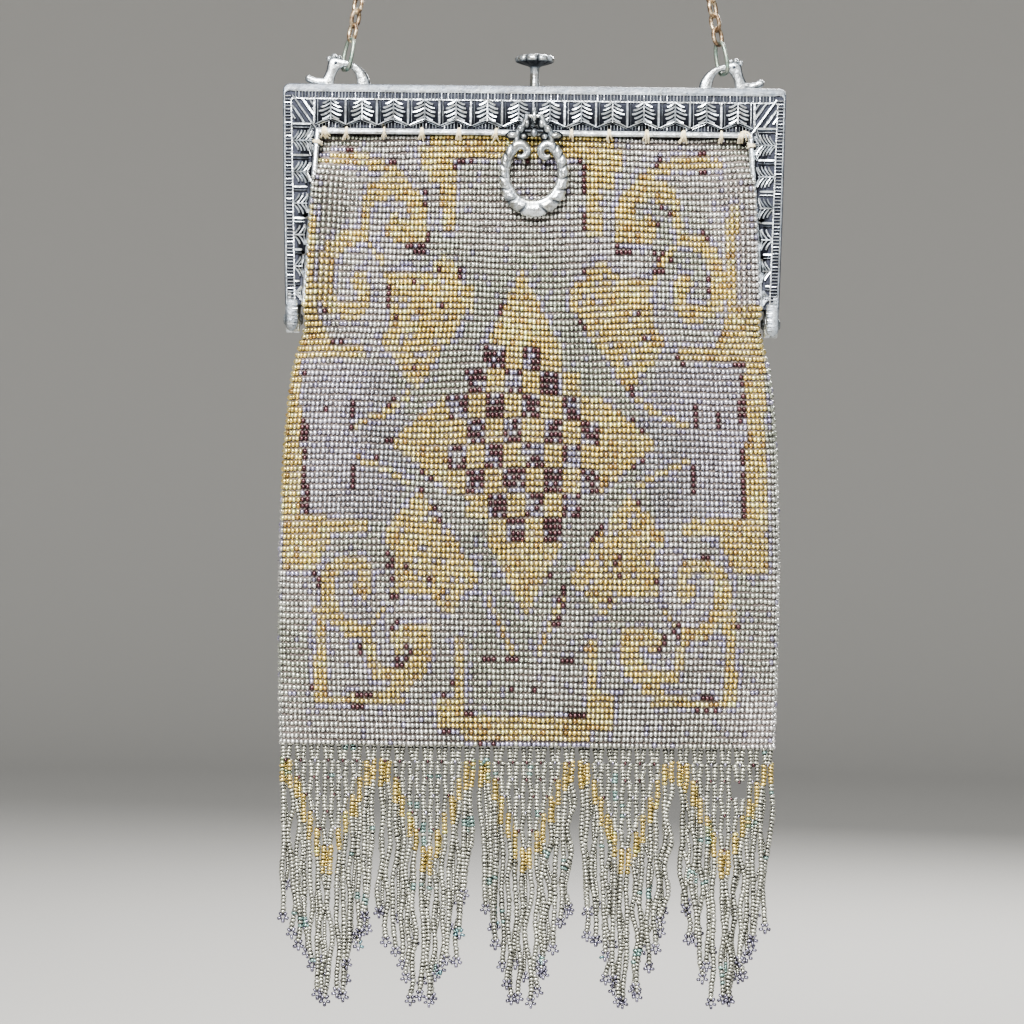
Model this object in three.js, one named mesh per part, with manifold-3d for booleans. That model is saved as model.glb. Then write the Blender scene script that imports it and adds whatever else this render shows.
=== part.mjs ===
// A beaded flapper purse that hangs from its chain: a cast metal frame in two hinged halves, a flat
// bag of steel beads sewn to it, a swinging pull, a push clasp and a bead fringe in five points.
// Millimetres, +Z up, +X to the right of someone who faces the purse, +Y away from them.
// The origin is the point where the chain rests on the hook that holds the purse up.
import * as THREE from 'three';
import { mergeVertices } from 'three/addons/utils/BufferGeometryUtils.js';
import Module from 'manifold-3d';

// Hanging and general sizes
const hangDrop = 306; // from the hook point down to the top edge of the frame
const clearance = 0.3; // running gap between two pieces
const weld = 0.3; // how deep a part of one casting is sunk into the next before they are joined

// Frame, as seen from the front
const frameWidth = 165;
const bandHeight = 16.2; // height of the top bar
const armWidthTop = 12.3;
const armWidthLow = 7;
const armPlateLength = 72; // from the top edge to where the ornament of an arm stops
const hingeDrop = 4.6; // from there down to the middle of the hinge
const armLean = 2.2; // how far an arm leans in over its length

// Frame, in section
const frameDepth = 13; // both halves, closed
const plateWall = 1.6;
const flangeWall = 1.5;
const hingeRadius = 4.4;
const earWidth = 2.1;
const rivetRadius = 1;
const rivetHeadRadius = 1.9;
const rivetHeadHeight = 0.6;

// Relief of the frame
const lipHeight = 2.6;
const lipSide = 0.9;
const lipRaise = 0.5;
const ribStrip = 2.4;
const ribRaise = 0.5;
const ribPitch = 3.4;
const rimWidth = 1.8;
const rimRaise = 0.9;
const panelPitch = 10.2;
const cornerInset = 11.2; // from the side of the frame to the first column of the top bar
const columnWidth = 1;
const columnRaise = 0.5;
const leafRaise = 0.8;
const holePitch = 12.3;
const holeRadius = 0.6;

// Bag
const bagDrop = 215.6; // from the top edge of the frame to the hem
const bagInset = 0.25; // from the side of the frame to the bag where it is widest
const bagDepth = 17;
const bagWall = 1.7;
const mouthTuck = 1.6; // how far the bag reaches behind the arms
const mouthRise = 3.6; // and behind the top bar

// Fringe
const fringeGroups = 5;
const fringeGap = 1.2; // between two groups at the hem
const fringeLong = 88;
const fringeShort = 52;
const netDepth = 36;
const netEdgeDepth = 7;
const fringeDepth = 2.4;
const locksPerGroup = 7;
const lockGap = 0.9;

// Handle loops, their rings and the chain
const loopInset = 20.5; // from the side of the frame to the middle of a loop
const loopWidth = 15.5;
const loopHeight = 10;
const loopThickness = 2.6;
const loopEyeWidth = 7.2;
const loopEyeHeight = 6.3;
const loopTail = 6.6;
const loopTailHeight = 3.6;
const loopPinRadius = 0.9;
const ringWire = 1.3;
const ringInnerLength = 9;
const ringInnerWidth = 5.4;
const ringTurn = 25; // degrees that a ring is turned out of the line of sight
const chainThickness = 4.4;
const hookRadius = 5;

// Clasp
const claspHeight = 11.2; // above the top edge
const claspHeadRadius = 6.5;
const claspHeadHeight = 4.3;
const claspStemRadius = 1.5;
const claspFootRadius = 2.6;
const claspFootHeight = 1.5;

// Pull and its bail
const pivotDrop = 10.2; // from the top edge to the axis on which the pull swings
const bailWire = 0.6; // radius of the bail's wire
const bailRadius = 1.6; // radius of its bend, at the middle of the wire
const pullPinRadius = 0.65;
const pullWidth = 24.3;
const pullHeight = 27.2;
const pullSideThickness = 3.3;
const pullFootThickness = 5.9;
const pullDepth = 3.2;
const pullNeck = 5.7; // from the axis to the top of the horseshoe
const pullPinLength = 4.6;

// Places worked out from the sizes
const halfWidth = frameWidth / 2;
const plateFront = -frameDepth / 2;
const plateBack = plateFront + plateWall;
const parting = -clearance / 2;
const hingeHeight = -(armPlateLength + hingeDrop);
const armLength = hingeRadius - hingeHeight;
const earTop = hingeRadius - armPlateLength;
const hingeInside = armOutside(hingeHeight) - 2 * (earWidth + clearance) - rivetHeadHeight;
const mouthHeight = mouthRise - bandHeight;
const bagWidth = frameWidth - 2 * bagInset;
const loopSpan = frameWidth - 2 * loopInset;
const mouthDepth = frameDepth - 2 * (plateWall + clearance);
const loopPlane = clearance / 2 + clearance + loopThickness / 2;
const pivotPlane = plateFront - rimRaise - clearance - pullDepth / 2;

const wasm = await Module();
wasm.setup();

function finish(color, roughness, metalness) {
  return new THREE.MeshStandardMaterial({ color, roughness, metalness });
}

const castMetal = finish(0xb9bcc0, 0.38, 1);
const brightMetal = finish(0xd4d6d8, 0.28, 1);
const chainMetal = finish(0x9a7b5c, 0.45, 1);
const steelBeads = finish(0xa9a7a0, 0.42, 0.7);
const fringeBeads = finish(0xa3a79c, 0.42, 0.7);

// Shared mesh helpers

function closedMesh(positions, triangles) {
  let volume = 0;
  const corner = [new THREE.Vector3(), new THREE.Vector3(), new THREE.Vector3()];
  for (const triangle of triangles) {
    triangle.forEach((index, side) => corner[side].copy(positions[index]));
    volume += corner[0].dot(corner[1].cross(corner[2]));
  }
  const facing = volume < 0 ? triangles.map(([a, b, c]) => [a, c, b]) : triangles;
  const geometry = new THREE.BufferGeometry();
  geometry.setAttribute('position', new THREE.Float32BufferAttribute(positions.flatMap((p) => p.toArray()), 3));
  geometry.setIndex(facing.flat());
  return geometry;
}

// Joins rings of points into one closed surface; a loop's last ring meets its first.
function loft(rings, isLoop = false) {
  const sides = rings[0].length;
  const triangles = [];
  const spans = isLoop ? rings.length : rings.length - 1;
  for (let ring = 0; ring < spans; ring += 1) {
    const here = ring * sides;
    const there = ((ring + 1) % rings.length) * sides;
    for (let side = 0; side < sides; side += 1) {
      const next = (side + 1) % sides;
      triangles.push([here + side, here + next, there + next]);
      triangles.push([here + side, there + next, there + side]);
    }
  }
  if (!isLoop) {
    const last = (rings.length - 1) * sides;
    for (let side = 1; side < sides - 1; side += 1) {
      triangles.push([0, side + 1, side]);
      triangles.push([last, last + side, last + side + 1]);
    }
  }
  return closedMesh(rings.flat(), triangles);
}

// Sweeps an oval section along points of one plane; `across` is that plane's normal.
function sweep(points, across, sectionAt, sides, isLoop = false) {
  const rings = points.map((point, index) => {
    const before = points[isLoop ? (index + points.length - 1) % points.length : Math.max(index - 1, 0)];
    const after = points[isLoop ? (index + 1) % points.length : Math.min(index + 1, points.length - 1)];
    const along = after.clone().sub(before).normalize();
    const outward = across.clone().cross(along).normalize();
    const [inPlane, offPlane] = sectionAt(index);
    return Array.from({ length: sides }, (_, side) => {
      const angle = ((side + 0.5) / sides) * Math.PI * 2;
      return point.clone()
        .addScaledVector(outward, Math.cos(angle) * inPlane)
        .addScaledVector(across, Math.sin(angle) * offPlane);
    });
  });
  return loft(rings, isLoop);
}

function shapeOf(points) {
  return new THREE.Shape(points.map(([x, y]) => new THREE.Vector2(x, y)));
}

// A shape drawn as seen from the front, thick from one depth to another.
function frontPlate(shape, near, far, curveSegments = 6) {
  const geometry = new THREE.ExtrudeGeometry(shape, { depth: far - near, bevelEnabled: false, curveSegments });
  return geometry.rotateX(Math.PI / 2).translate(0, far, 0);
}

// A shape drawn as seen from the right, with Y across and Z up, thick from one X to another.
function sidePlate(shape, left, right, curveSegments = 6) {
  const geometry = new THREE.ExtrudeGeometry(shape, { depth: right - left, bevelEnabled: false, curveSegments });
  const turn = new THREE.Matrix4().set(0, 0, 1, 0, 1, 0, 0, 0, 0, 1, 0, 0, 0, 0, 0, 1);
  return geometry.applyMatrix4(turn).translate(left, 0, 0);
}

function solid(geometry) {
  const bare = geometry.clone();
  bare.deleteAttribute('normal');
  bare.deleteAttribute('uv');
  const merged = mergeVertices(bare, 1e-4);
  const mesh = new wasm.Mesh({
    numProp: 3,
    vertProperties: new Float32Array(merged.attributes.position.array),
    triVerts: new Uint32Array(merged.index.array),
  });
  return new wasm.Manifold(mesh);
}

function geometryOf(manifold) {
  const mesh = manifold.getMesh();
  const geometry = new THREE.BufferGeometry();
  geometry.setAttribute('position', new THREE.BufferAttribute(mesh.vertProperties, 3));
  geometry.setIndex(new THREE.BufferAttribute(mesh.triVerts, 1));
  return geometry;
}

function joined(geometries) {
  return geometries.map(solid).reduce((whole, piece) => whole.add(piece));
}

function cut(whole, geometries) {
  return geometries.map(solid).reduce((rest, tool) => rest.subtract(tool), whole);
}

function addPiece(parent, name, geometry, material) {
  const mesh = new THREE.Mesh(geometry, material);
  mesh.name = name;
  parent.add(mesh);
  return mesh;
}

// Frame

function armOutside(height) {
  return halfWidth + (armLean * height) / armLength;
}

function armWidth(height) {
  const share = (-height - bandHeight) / (armPlateLength - bandHeight);
  return THREE.MathUtils.lerp(armWidthTop, armWidthLow, THREE.MathUtils.clamp(share, 0, 1));
}

function mirrored(points) {
  return [...points, ...points.map(([x, z]) => [-x, z]).reverse()];
}

// The whole upside-down U of one half, as seen from the front.
function framePlate() {
  return shapeOf(mirrored([
    [halfWidth, 0],
    [armOutside(-armPlateLength), -armPlateLength],
    [armOutside(-armPlateLength) - armWidthLow, -armPlateLength],
    [halfWidth - armWidthTop, -bandHeight],
  ]));
}

// A strip along the outer edge of that U, down to the height `end`.
function outerStrip(topWidth, sideWidth, end) {
  return shapeOf(mirrored([
    [halfWidth, 0],
    [armOutside(end), end],
    [armOutside(end) - sideWidth, end],
    [armOutside(-topWidth) - sideWidth, -topWidth],
  ]));
}

// The bar along the inner edge, over which the bag is sewn.
function rimStrip() {
  const lowInside = armOutside(-armPlateLength) - armWidthLow;
  const topInside = halfWidth - armWidthTop;
  return shapeOf(mirrored([
    [topInside + rimWidth, rimWidth - bandHeight],
    [lowInside + rimWidth, -armPlateLength],
    [lowInside, -armPlateLength],
    [topInside, -bandHeight],
  ]));
}

// One side of a leaf: how far each point reaches across its panel and up its field.
const leafOutline = [
  { reach: 0.05, rise: 0.04 },
  { reach: 0.4, rise: 0.02 },
  { reach: 0.1, rise: 0.38 },
  { reach: 0.37, rise: 0.6 },
  { reach: 0.09, rise: 0.66 },
  { reach: 0.34, rise: 0.94 },
  { reach: 0.03, rise: 0.98 },
];

function leafShape(width, height) {
  const side = leafOutline.map(({ reach, rise }) => [reach * width, rise * height]);
  return shapeOf(mirrored(side));
}

// Places on the frame's field, counted in panels: whole numbers fall on columns, halves on leaves.
// The panels of the top bar stand side by side; those of an arm lie on their sides, tops outward.
function fieldPlaces(firstPanel, lastColumn) {
  const places = [];
  const topSpan = frameWidth - 2 * cornerInset;
  const topCount = Math.round(topSpan / panelPitch);
  const width = topSpan / topCount;
  const height = bandHeight - lipHeight - ribStrip - rimWidth;
  for (let panel = firstPanel; panel < topCount + lastColumn; panel += 1) {
    places.push({ x: panel * width - topSpan / 2, z: rimWidth - bandHeight, turn: 0, width, height });
  }
  const armSpan = armPlateLength - bandHeight + rimWidth;
  const armCount = Math.round(armSpan / panelPitch);
  const armPitch = armSpan / armCount;
  for (const side of [-1, 1]) {
    for (let panel = firstPanel; panel < armCount; panel += 1) {
      const z = rimWidth - bandHeight - panel * armPitch;
      const inside = armOutside(z) - armWidth(z) + rimWidth;
      const armField = armOutside(z) - lipSide - ribStrip - inside;
      places.push({ x: side * inside, z, turn: side * Math.PI / 2, width: armPitch, height: armField });
    }
  }
  return places;
}

function raised(shape, height) {
  return frontPlate(shape, plateFront - height, plateFront + weld);
}

function leaves() {
  return fieldPlaces(0.5, 0).map(({ x, z, turn, width, height }) => (
    raised(leafShape(width, height), leafRaise).rotateY(turn).translate(x, 0, z)
  ));
}

function columns() {
  const half = columnWidth / 2;
  return fieldPlaces(0, 0.5).map(({ x, z, turn, height }) => (
    raised(shapeOf([[-half, 0], [half, 0], [half, height], [-half, height]]), columnRaise)
      .rotateY(turn)
      .translate(x, 0, z)
  ));
}

// The ridges that run across the two upper corners, where the ornament changes direction.
function mitres() {
  const half = columnWidth / 2;
  const outer = [halfWidth - lipSide - ribStrip, -lipHeight - ribStrip];
  const inner = [halfWidth - armWidthTop + rimWidth, rimWidth - bandHeight];
  const ridge = [
    [outer[0] - half, outer[1]],
    [outer[0], outer[1] - half],
    [inner[0] + half, inner[1]],
    [inner[0], inner[1] + half],
  ];
  return [1, -1].map((side) => raised(shapeOf(ridge.map(([x, z]) => [side * x, z])), leafRaise));
}

// A sharp ridge that runs across the border strip, drawn upright at the origin.
function rib(length) {
  const halfRib = ribPitch / 4;
  const outline = [[-halfRib, plateFront + weld], [halfRib, plateFront + weld], [0, plateFront - ribRaise]];
  const geometry = new THREE.ExtrudeGeometry(shapeOf(outline), { depth: length, bevelEnabled: false });
  return geometry;
}

function ribs() {
  const pieces = [];
  const topSpan = frameWidth - 2 * (lipSide + ribStrip);
  const topCount = Math.round(topSpan / ribPitch);
  for (let index = 0; index < topCount; index += 1) {
    const x = ((index + 0.5) / topCount - 0.5) * topSpan;
    pieces.push(rib(ribStrip).translate(x, 0, -lipHeight - ribStrip));
  }
  const armSpan = armPlateLength - lipHeight;
  const armCount = Math.round(armSpan / ribPitch);
  for (const side of [-1, 1]) {
    for (let index = 0; index < armCount; index += 1) {
      const z = -lipHeight - ((index + 0.5) / armCount) * armSpan;
      const middle = armOutside(z) - lipSide - ribStrip / 2;
      const lying = rib(ribStrip).translate(0, 0, -ribStrip / 2).rotateY(Math.PI / 2);
      pieces.push(lying.translate(side * middle, 0, z));
    }
  }
  return pieces;
}

function sewingHoles() {
  const tools = [];
  const punch = (x, z) => {
    const tool = new THREE.CylinderGeometry(holeRadius, holeRadius, frameDepth, 6);
    tools.push(tool.translate(x, plateFront, z));
  };
  const topSpan = frameWidth - 2 * armWidthTop;
  const topCount = Math.round(topSpan / holePitch);
  const inset = rimWidth + holeRadius;
  for (let index = 0; index < topCount; index += 1) {
    punch(((index + 0.5) / topCount - 0.5) * topSpan, inset - bandHeight);
  }
  const armCount = Math.round((armPlateLength - bandHeight) / holePitch);
  for (const side of [-1, 1]) {
    for (let index = 0; index < armCount; index += 1) {
      const z = -bandHeight - ((index + 0.5) / armCount) * (armPlateLength - bandHeight);
      punch(side * (armOutside(z) - armWidth(z) + inset), z);
    }
  }
  return tools;
}

// One hinge ear, drawn from the right: a neck down the plate that ends in a disc round the pin.
function earShape() {
  const outline = [[parting, earTop], [plateFront, earTop], [plateFront, hingeHeight + hingeRadius / 2]];
  const arcSteps = 9;
  for (let step = 0; step <= arcSteps; step += 1) {
    const angle = THREE.MathUtils.degToRad(200 + (step / arcSteps) * 250);
    outline.push([Math.cos(angle) * hingeRadius, hingeHeight + Math.sin(angle) * hingeRadius]);
  }
  return shapeOf(outline);
}

function onBothSides(left, right, make) {
  return [make(left, right), make(-right, -left)];
}

// One half as it lies in front; `earInset` is how far its hinge ears stand in from the arm's side.
function frameHalf(earInset, relief) {
  const outside = armOutside(hingeHeight);
  const earLeft = outside - earInset - earWidth;
  const earRight = outside - earInset;
  const flangeEnd = hingeHeight + hingeRadius;
  const otherInset = earInset > 0 ? 0 : earWidth + clearance;
  const otherLeft = outside - otherInset - earWidth - clearance;
  const otherRight = outside - otherInset + clearance + armLean;
  const roomRadius = hingeRadius + clearance;

  const casting = joined([
    frontPlate(framePlate(), plateFront, plateBack),
    frontPlate(outerStrip(flangeWall, flangeWall, flangeEnd), plateFront, parting),
    raised(outerStrip(lipHeight, lipSide, -armPlateLength), lipRaise),
    raised(rimStrip(), rimRaise),
    ...mitres(),
    ...relief,
  ]);
  const room = new THREE.CylinderGeometry(roomRadius, roomRadius, otherRight - otherLeft, 16).rotateZ(Math.PI / 2);
  const roomMiddle = (otherLeft + otherRight) / 2;
  const tools = [
    ...sewingHoles(),
    room.clone().translate(roomMiddle, 0, hingeHeight),
    room.clone().translate(-roomMiddle, 0, hingeHeight),
  ];
  const ears = onBothSides(earLeft, earRight, (left, right) => sidePlate(earShape(), left, right));
  const pinHole = rivetRadius + clearance;
  const bore = new THREE.CylinderGeometry(pinHole, pinHole, frameWidth + 2 * armLean, 12)
    .rotateZ(Math.PI / 2)
    .translate(0, 0, hingeHeight);
  return cut(ears.map(solid).reduce((whole, ear) => whole.add(ear), cut(casting, tools)), [bore]);
}

function uprightHole(x, y, radius) {
  return new THREE.CylinderGeometry(radius, radius, flangeWall * 4, 12).rotateX(Math.PI / 2).translate(x, y, 0);
}

function frameFront() {
  const half = frameHalf(0, [...leaves(), ...columns(), ...ribs()]);
  const claspHole = uprightHole(0, 0, claspStemRadius + clearance);
  const bailHoles = [-1, 1].map((side) => {
    const radius = bailWire + clearance;
    const tool = new THREE.CylinderGeometry(radius, radius, frameDepth, 8);
    return tool.translate(0, plateFront, side * bailRadius - pivotDrop);
  });
  return geometryOf(cut(half, [claspHole, ...bailHoles]));
}

function frameBack() {
  const half = geometryOf(frameHalf(earWidth + clearance, columns())).rotateZ(Math.PI);
  const holes = [uprightHole(0, 0, claspStemRadius + clearance)];
  for (const side of [-1, 1]) {
    for (const x of loopPinPlaces()) {
      holes.push(uprightHole(side * (loopSpan / 2 + x), loopPlane, loopPinRadius + clearance));
    }
  }
  return geometryOf(cut(solid(half), holes));
}

function hingeRivet() {
  const inner = armOutside(hingeHeight) - 2 * earWidth - 2 * clearance;
  const outer = armOutside(hingeHeight) + clearance;
  const profile = [
    [0, inner - rivetHeadHeight],
    [rivetHeadRadius * 0.7, inner - rivetHeadHeight],
    [rivetHeadRadius, inner],
    [rivetRadius, inner],
    [rivetRadius, outer],
    [rivetHeadRadius, outer],
    [rivetHeadRadius * 0.7, outer + rivetHeadHeight],
    [0, outer + rivetHeadHeight],
  ];
  const points = profile.map(([radius, along]) => new THREE.Vector2(radius, along));
  return new THREE.LatheGeometry(points, 10).rotateZ(-Math.PI / 2).translate(0, 0, hingeHeight);
}

// Bag between the arms: a level from the mouth down to the hinges, and how far the bag has swelled.
const framedRows = [
  { level: 0, swell: 0 },
  { level: 0.07, swell: 0 },
  { level: 0.3, swell: 0.36 },
  { level: 0.6, swell: 0.58 },
  { level: 1, swell: 0.74 },
];
// Bag below the hinges: a level down to the hem, and shares of the bag's own width and depth.
const freeRows = [
  { level: 0.04, width: 0.942, depth: 0.9 },
  { level: 0.13, width: 0.966, depth: 0.94 },
  { level: 0.3, width: 0.988, depth: 0.98 },
  { level: 0.52, width: 1, depth: 1 },
  { level: 0.76, width: 0.999, depth: 0.86 },
  { level: 0.93, width: 0.993, depth: 0.56 },
  { level: 1, width: 0.988, depth: 0.34 },
];
const bagSides = 32;

function bagRing(width, depth, height) {
  return Array.from({ length: bagSides }, (_, side) => {
    const angle = (side / bagSides) * Math.PI * 2;
    const across = Math.sign(Math.cos(angle)) * Math.abs(Math.cos(angle)) ** 0.55;
    const out = Math.sign(Math.sin(angle)) * Math.abs(Math.sin(angle)) ** 0.8;
    return new THREE.Vector3((across * width) / 2, (out * depth) / 2, height);
  });
}

// Width, depth and height of the bag's sections, from the mouth to the hem.
function bagSections() {
  const { lerp } = THREE.MathUtils;
  const mouthWidth = 2 * (halfWidth - armWidthTop + mouthTuck);
  const hingeWidth = 2 * (hingeInside - 2 * clearance);
  const framedEnd = -armLength - clearance;
  const framed = framedRows.map(({ level, swell }) => ({
    width: lerp(mouthWidth, hingeWidth, level),
    depth: lerp(mouthDepth, bagDepth, swell),
    height: lerp(mouthHeight, framedEnd, level),
  }));
  const free = freeRows.map(({ level, width, depth }) => ({
    width: width * bagWidth,
    depth: depth * bagDepth,
    height: lerp(framedEnd, -bagDrop, level),
  }));
  return [...framed, ...free];
}

function bag() {
  const sections = bagSections();
  const outer = sections.map(({ width, depth, height }) => bagRing(width, depth, height));
  const inner = sections.slice(0, -1).map(({ width, depth, height }) => (
    bagRing(width - 2 * bagWall, depth - 2 * bagWall, height)
  ));
  return loft([...outer.reverse(), ...inner]);
}

// Fringe

function fringeEnd(share) {
  return THREE.MathUtils.lerp(fringeLong, fringeShort, Math.abs(share));
}

function netBottom(share) {
  return THREE.MathUtils.lerp(netDepth, netEdgeDepth, Math.abs(share));
}

function fringeLock(middle, halfLock, share) {
  const top = netBottom(share) - netEdgeDepth / 2;
  const end = fringeEnd(share);
  const sway = halfLock * 0.35;
  const rows = [
    { level: 0, width: 1, shift: 0 },
    { level: 0.35, width: 0.9, shift: 1 },
    { level: 0.7, width: 0.8, shift: -1 },
    { level: 1, width: 0.35, shift: 0.5 },
  ];
  const rings = rows.map(({ level, width, shift }) => {
    const height = -THREE.MathUtils.lerp(top, end, level);
    const reach = halfLock * width;
    const thick = (fringeDepth / 2) * (0.5 + width / 2);
    const x = middle + sway * shift;
    const outline = [[1, 0], [0.5, 1], [-0.5, 1], [-1, 0], [-0.5, -1], [0.5, -1]];
    return outline.map(([across, out]) => new THREE.Vector3(x + across * reach, out * thick, height));
  });
  return loft(rings);
}

function fringeGroup(width) {
  const half = width / 2;
  const head = [[half, 0], [half, -netEdgeDepth], [0, -netDepth], [-half, -netEdgeDepth], [-half, 0]];
  const pieces = [frontPlate(shapeOf(head), -fringeDepth / 2, fringeDepth / 2)];
  const lockPitch = width / locksPerGroup;
  for (let index = 0; index < locksPerGroup; index += 1) {
    const middle = (index + 0.5) * lockPitch - half;
    pieces.push(fringeLock(middle, (lockPitch - lockGap) / 2, middle / half));
  }
  return geometryOf(joined(pieces));
}

// Handle loops, rings and chain

function loopPinPlaces() {
  const foot = (loopWidth + loopEyeWidth) / 4;
  return [-foot, foot];
}

// The cast loop at the right end; the left one is turned round, so that both tails point outward.
function handleLoop() {
  const half = loopWidth / 2;
  const eye = loopEyeWidth / 2;
  const tailEnd = half + loopTail;
  const shape = new THREE.Shape();
  shape.moveTo(-half, 0);
  shape.quadraticCurveTo(-half, loopHeight, 0, loopHeight);
  shape.quadraticCurveTo(half * 0.9, loopHeight, half, loopTailHeight);
  shape.lineTo(tailEnd - loopTailHeight / 2, loopTailHeight * 0.45);
  shape.quadraticCurveTo(tailEnd - loopTailHeight / 3, loopTailHeight * 1.1, tailEnd, loopTailHeight * 0.9);
  shape.quadraticCurveTo(tailEnd + loopTailHeight / 4, 0, tailEnd - loopTailHeight / 2, 0);
  shape.lineTo(eye, 0);
  shape.lineTo(eye, loopEyeHeight - eye);
  shape.absarc(0, loopEyeHeight - eye, eye, 0, Math.PI, false);
  shape.lineTo(-eye, 0);
  const arch = frontPlate(shape, -loopThickness / 2, loopThickness / 2, 5);
  const pinLength = flangeWall + 2 * clearance + weld;
  const pins = loopPinPlaces().map((x) => {
    const pin = new THREE.CylinderGeometry(loopPinRadius, loopPinRadius, pinLength, 10);
    return pin.rotateX(Math.PI / 2).translate(x, 0, weld - pinLength / 2);
  });
  return geometryOf(joined([arch, ...pins]));
}

// The chain's ends and its direction follow from where the loops and the hook are.
function chainLine(side) {
  const eyeRadius = loopEyeWidth / 2;
  const ringReach = (ringInnerWidth / 2) * Math.sin(THREE.MathUtils.degToRad(ringTurn));
  const archFall = eyeRadius - Math.sqrt(eyeRadius ** 2 - ringReach ** 2);
  const seatHeight = clearance + loopEyeHeight - archFall - hangDrop;
  const seat = new THREE.Vector3(side * loopSpan / 2, loopPlane, seatHeight);
  const hook = new THREE.Vector3(0, 0, -hookRadius);
  const away = hook.clone().sub(seat);
  const reach = hookRadius + chainThickness / 2;
  const swing = Math.asin(reach / away.length());
  const along = away.clone().normalize().applyAxisAngle(new THREE.Vector3(0, 1, 0), side * swing);
  return { seat, along, hook, reach };
}

function ringPlace(side) {
  const { seat, along } = chainLine(side);
  return seat.clone().addScaledVector(along, ringInnerLength / 2 - clearance);
}

function endRing(side) {
  const { along } = chainLine(side);
  const centre = ringPlace(side);
  const turn = THREE.MathUtils.degToRad(ringTurn);
  const across = new THREE.Vector3(0, 1, 0).cross(along).normalize();
  const normal = across.applyAxisAngle(along, turn);
  const outward = normal.clone().cross(along).normalize();
  const steps = 20;
  const length = (ringInnerLength + ringWire) / 2;
  const width = (ringInnerWidth + ringWire) / 2;
  const points = Array.from({ length: steps }, (_, step) => {
    const angle = (step / steps) * Math.PI * 2;
    const flat = Math.sign(Math.sin(angle)) * Math.abs(Math.sin(angle)) ** 0.5;
    return centre.clone()
      .addScaledVector(along, Math.cos(angle) * length)
      .addScaledVector(outward, flat * width);
  });
  return sweep(points, normal, () => [ringWire / 2, ringWire / 2], 6, true);
}

function chainRoute() {
  const halves = [-1, 1].map((side) => {
    const { along, hook, reach } = chainLine(side);
    const start = ringPlace(side).addScaledVector(along, ringInnerLength / 2 + ringWire + clearance);
    const points = [start];
    const runLength = hook.clone().sub(start).dot(along);
    const runs = 6;
    for (let run = 1; run <= runs; run += 1) {
      points.push(start.clone().addScaledVector(along, (runLength * run) / runs));
    }
    const outward = points[runs].clone().sub(hook).normalize();
    const lean = Math.atan2(outward.x * side, outward.z);
    const bends = 3;
    for (let bend = 1; bend < bends; bend += 1) {
      const angle = lean * (1 - bend / bends);
      points.push(new THREE.Vector3(side * Math.sin(angle) * reach, 0, hook.z + Math.cos(angle) * reach));
    }
    return points;
  });
  const crown = new THREE.Vector3(0, 0, chainThickness / 2);
  return [...halves[0], crown, ...halves[1].reverse()];
}

function handleChain() {
  const route = new THREE.CatmullRomCurve3(chainRoute(), false, 'centripetal');
  const sides = 8;
  const section = shapeOf(Array.from({ length: sides }, (_, side) => {
    const angle = (side / sides) * Math.PI * 2;
    return [Math.cos(angle) * chainThickness / 2, Math.sin(angle) * chainThickness / 2];
  }));
  const stepLength = chainThickness * 2.3;
  const steps = 2 * Math.round(route.getLength() / 2 / stepLength);
  return new THREE.ExtrudeGeometry(section, { steps, extrudePath: route, bevelEnabled: false });
}

// Clasp

function claspKnob() {
  const footTop = -flangeWall - clearance;
  const headBase = claspHeight - claspHeadHeight;
  const profile = [
    [0, footTop - claspFootHeight],
    [claspFootRadius, footTop - claspFootHeight],
    [claspFootRadius, footTop],
    [claspStemRadius, footTop],
    [claspStemRadius, headBase],
    [claspHeadRadius * 0.6, headBase + claspHeadHeight * 0.1],
    [claspHeadRadius, headBase + claspHeadHeight * 0.4],
    [claspHeadRadius * 0.8, headBase + claspHeadHeight * 0.72],
    [claspHeadRadius * 0.35, headBase + claspHeadHeight * 0.94],
    [0, claspHeight],
  ];
  const points = profile.map(([radius, height]) => new THREE.Vector2(radius, height));
  const sides = 16;
  const knob = new THREE.LatheGeometry(points, sides).rotateX(Math.PI / 2);
  const place = knob.attributes.position;
  for (let index = 0; index < place.count; index += 1) {
    const x = place.getX(index);
    const y = place.getY(index);
    const isValley = Math.round((Math.atan2(y, x) / Math.PI / 2) * sides) % 2 !== 0;
    if (isValley && Math.hypot(x, y) > claspHeadRadius / 2) {
      place.setXY(index, x * 0.88, y * 0.88);
    }
  }
  return knob;
}

// Pull: a horseshoe whose ends curl in, hung by two stems on a pin that lies in the bail.

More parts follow.
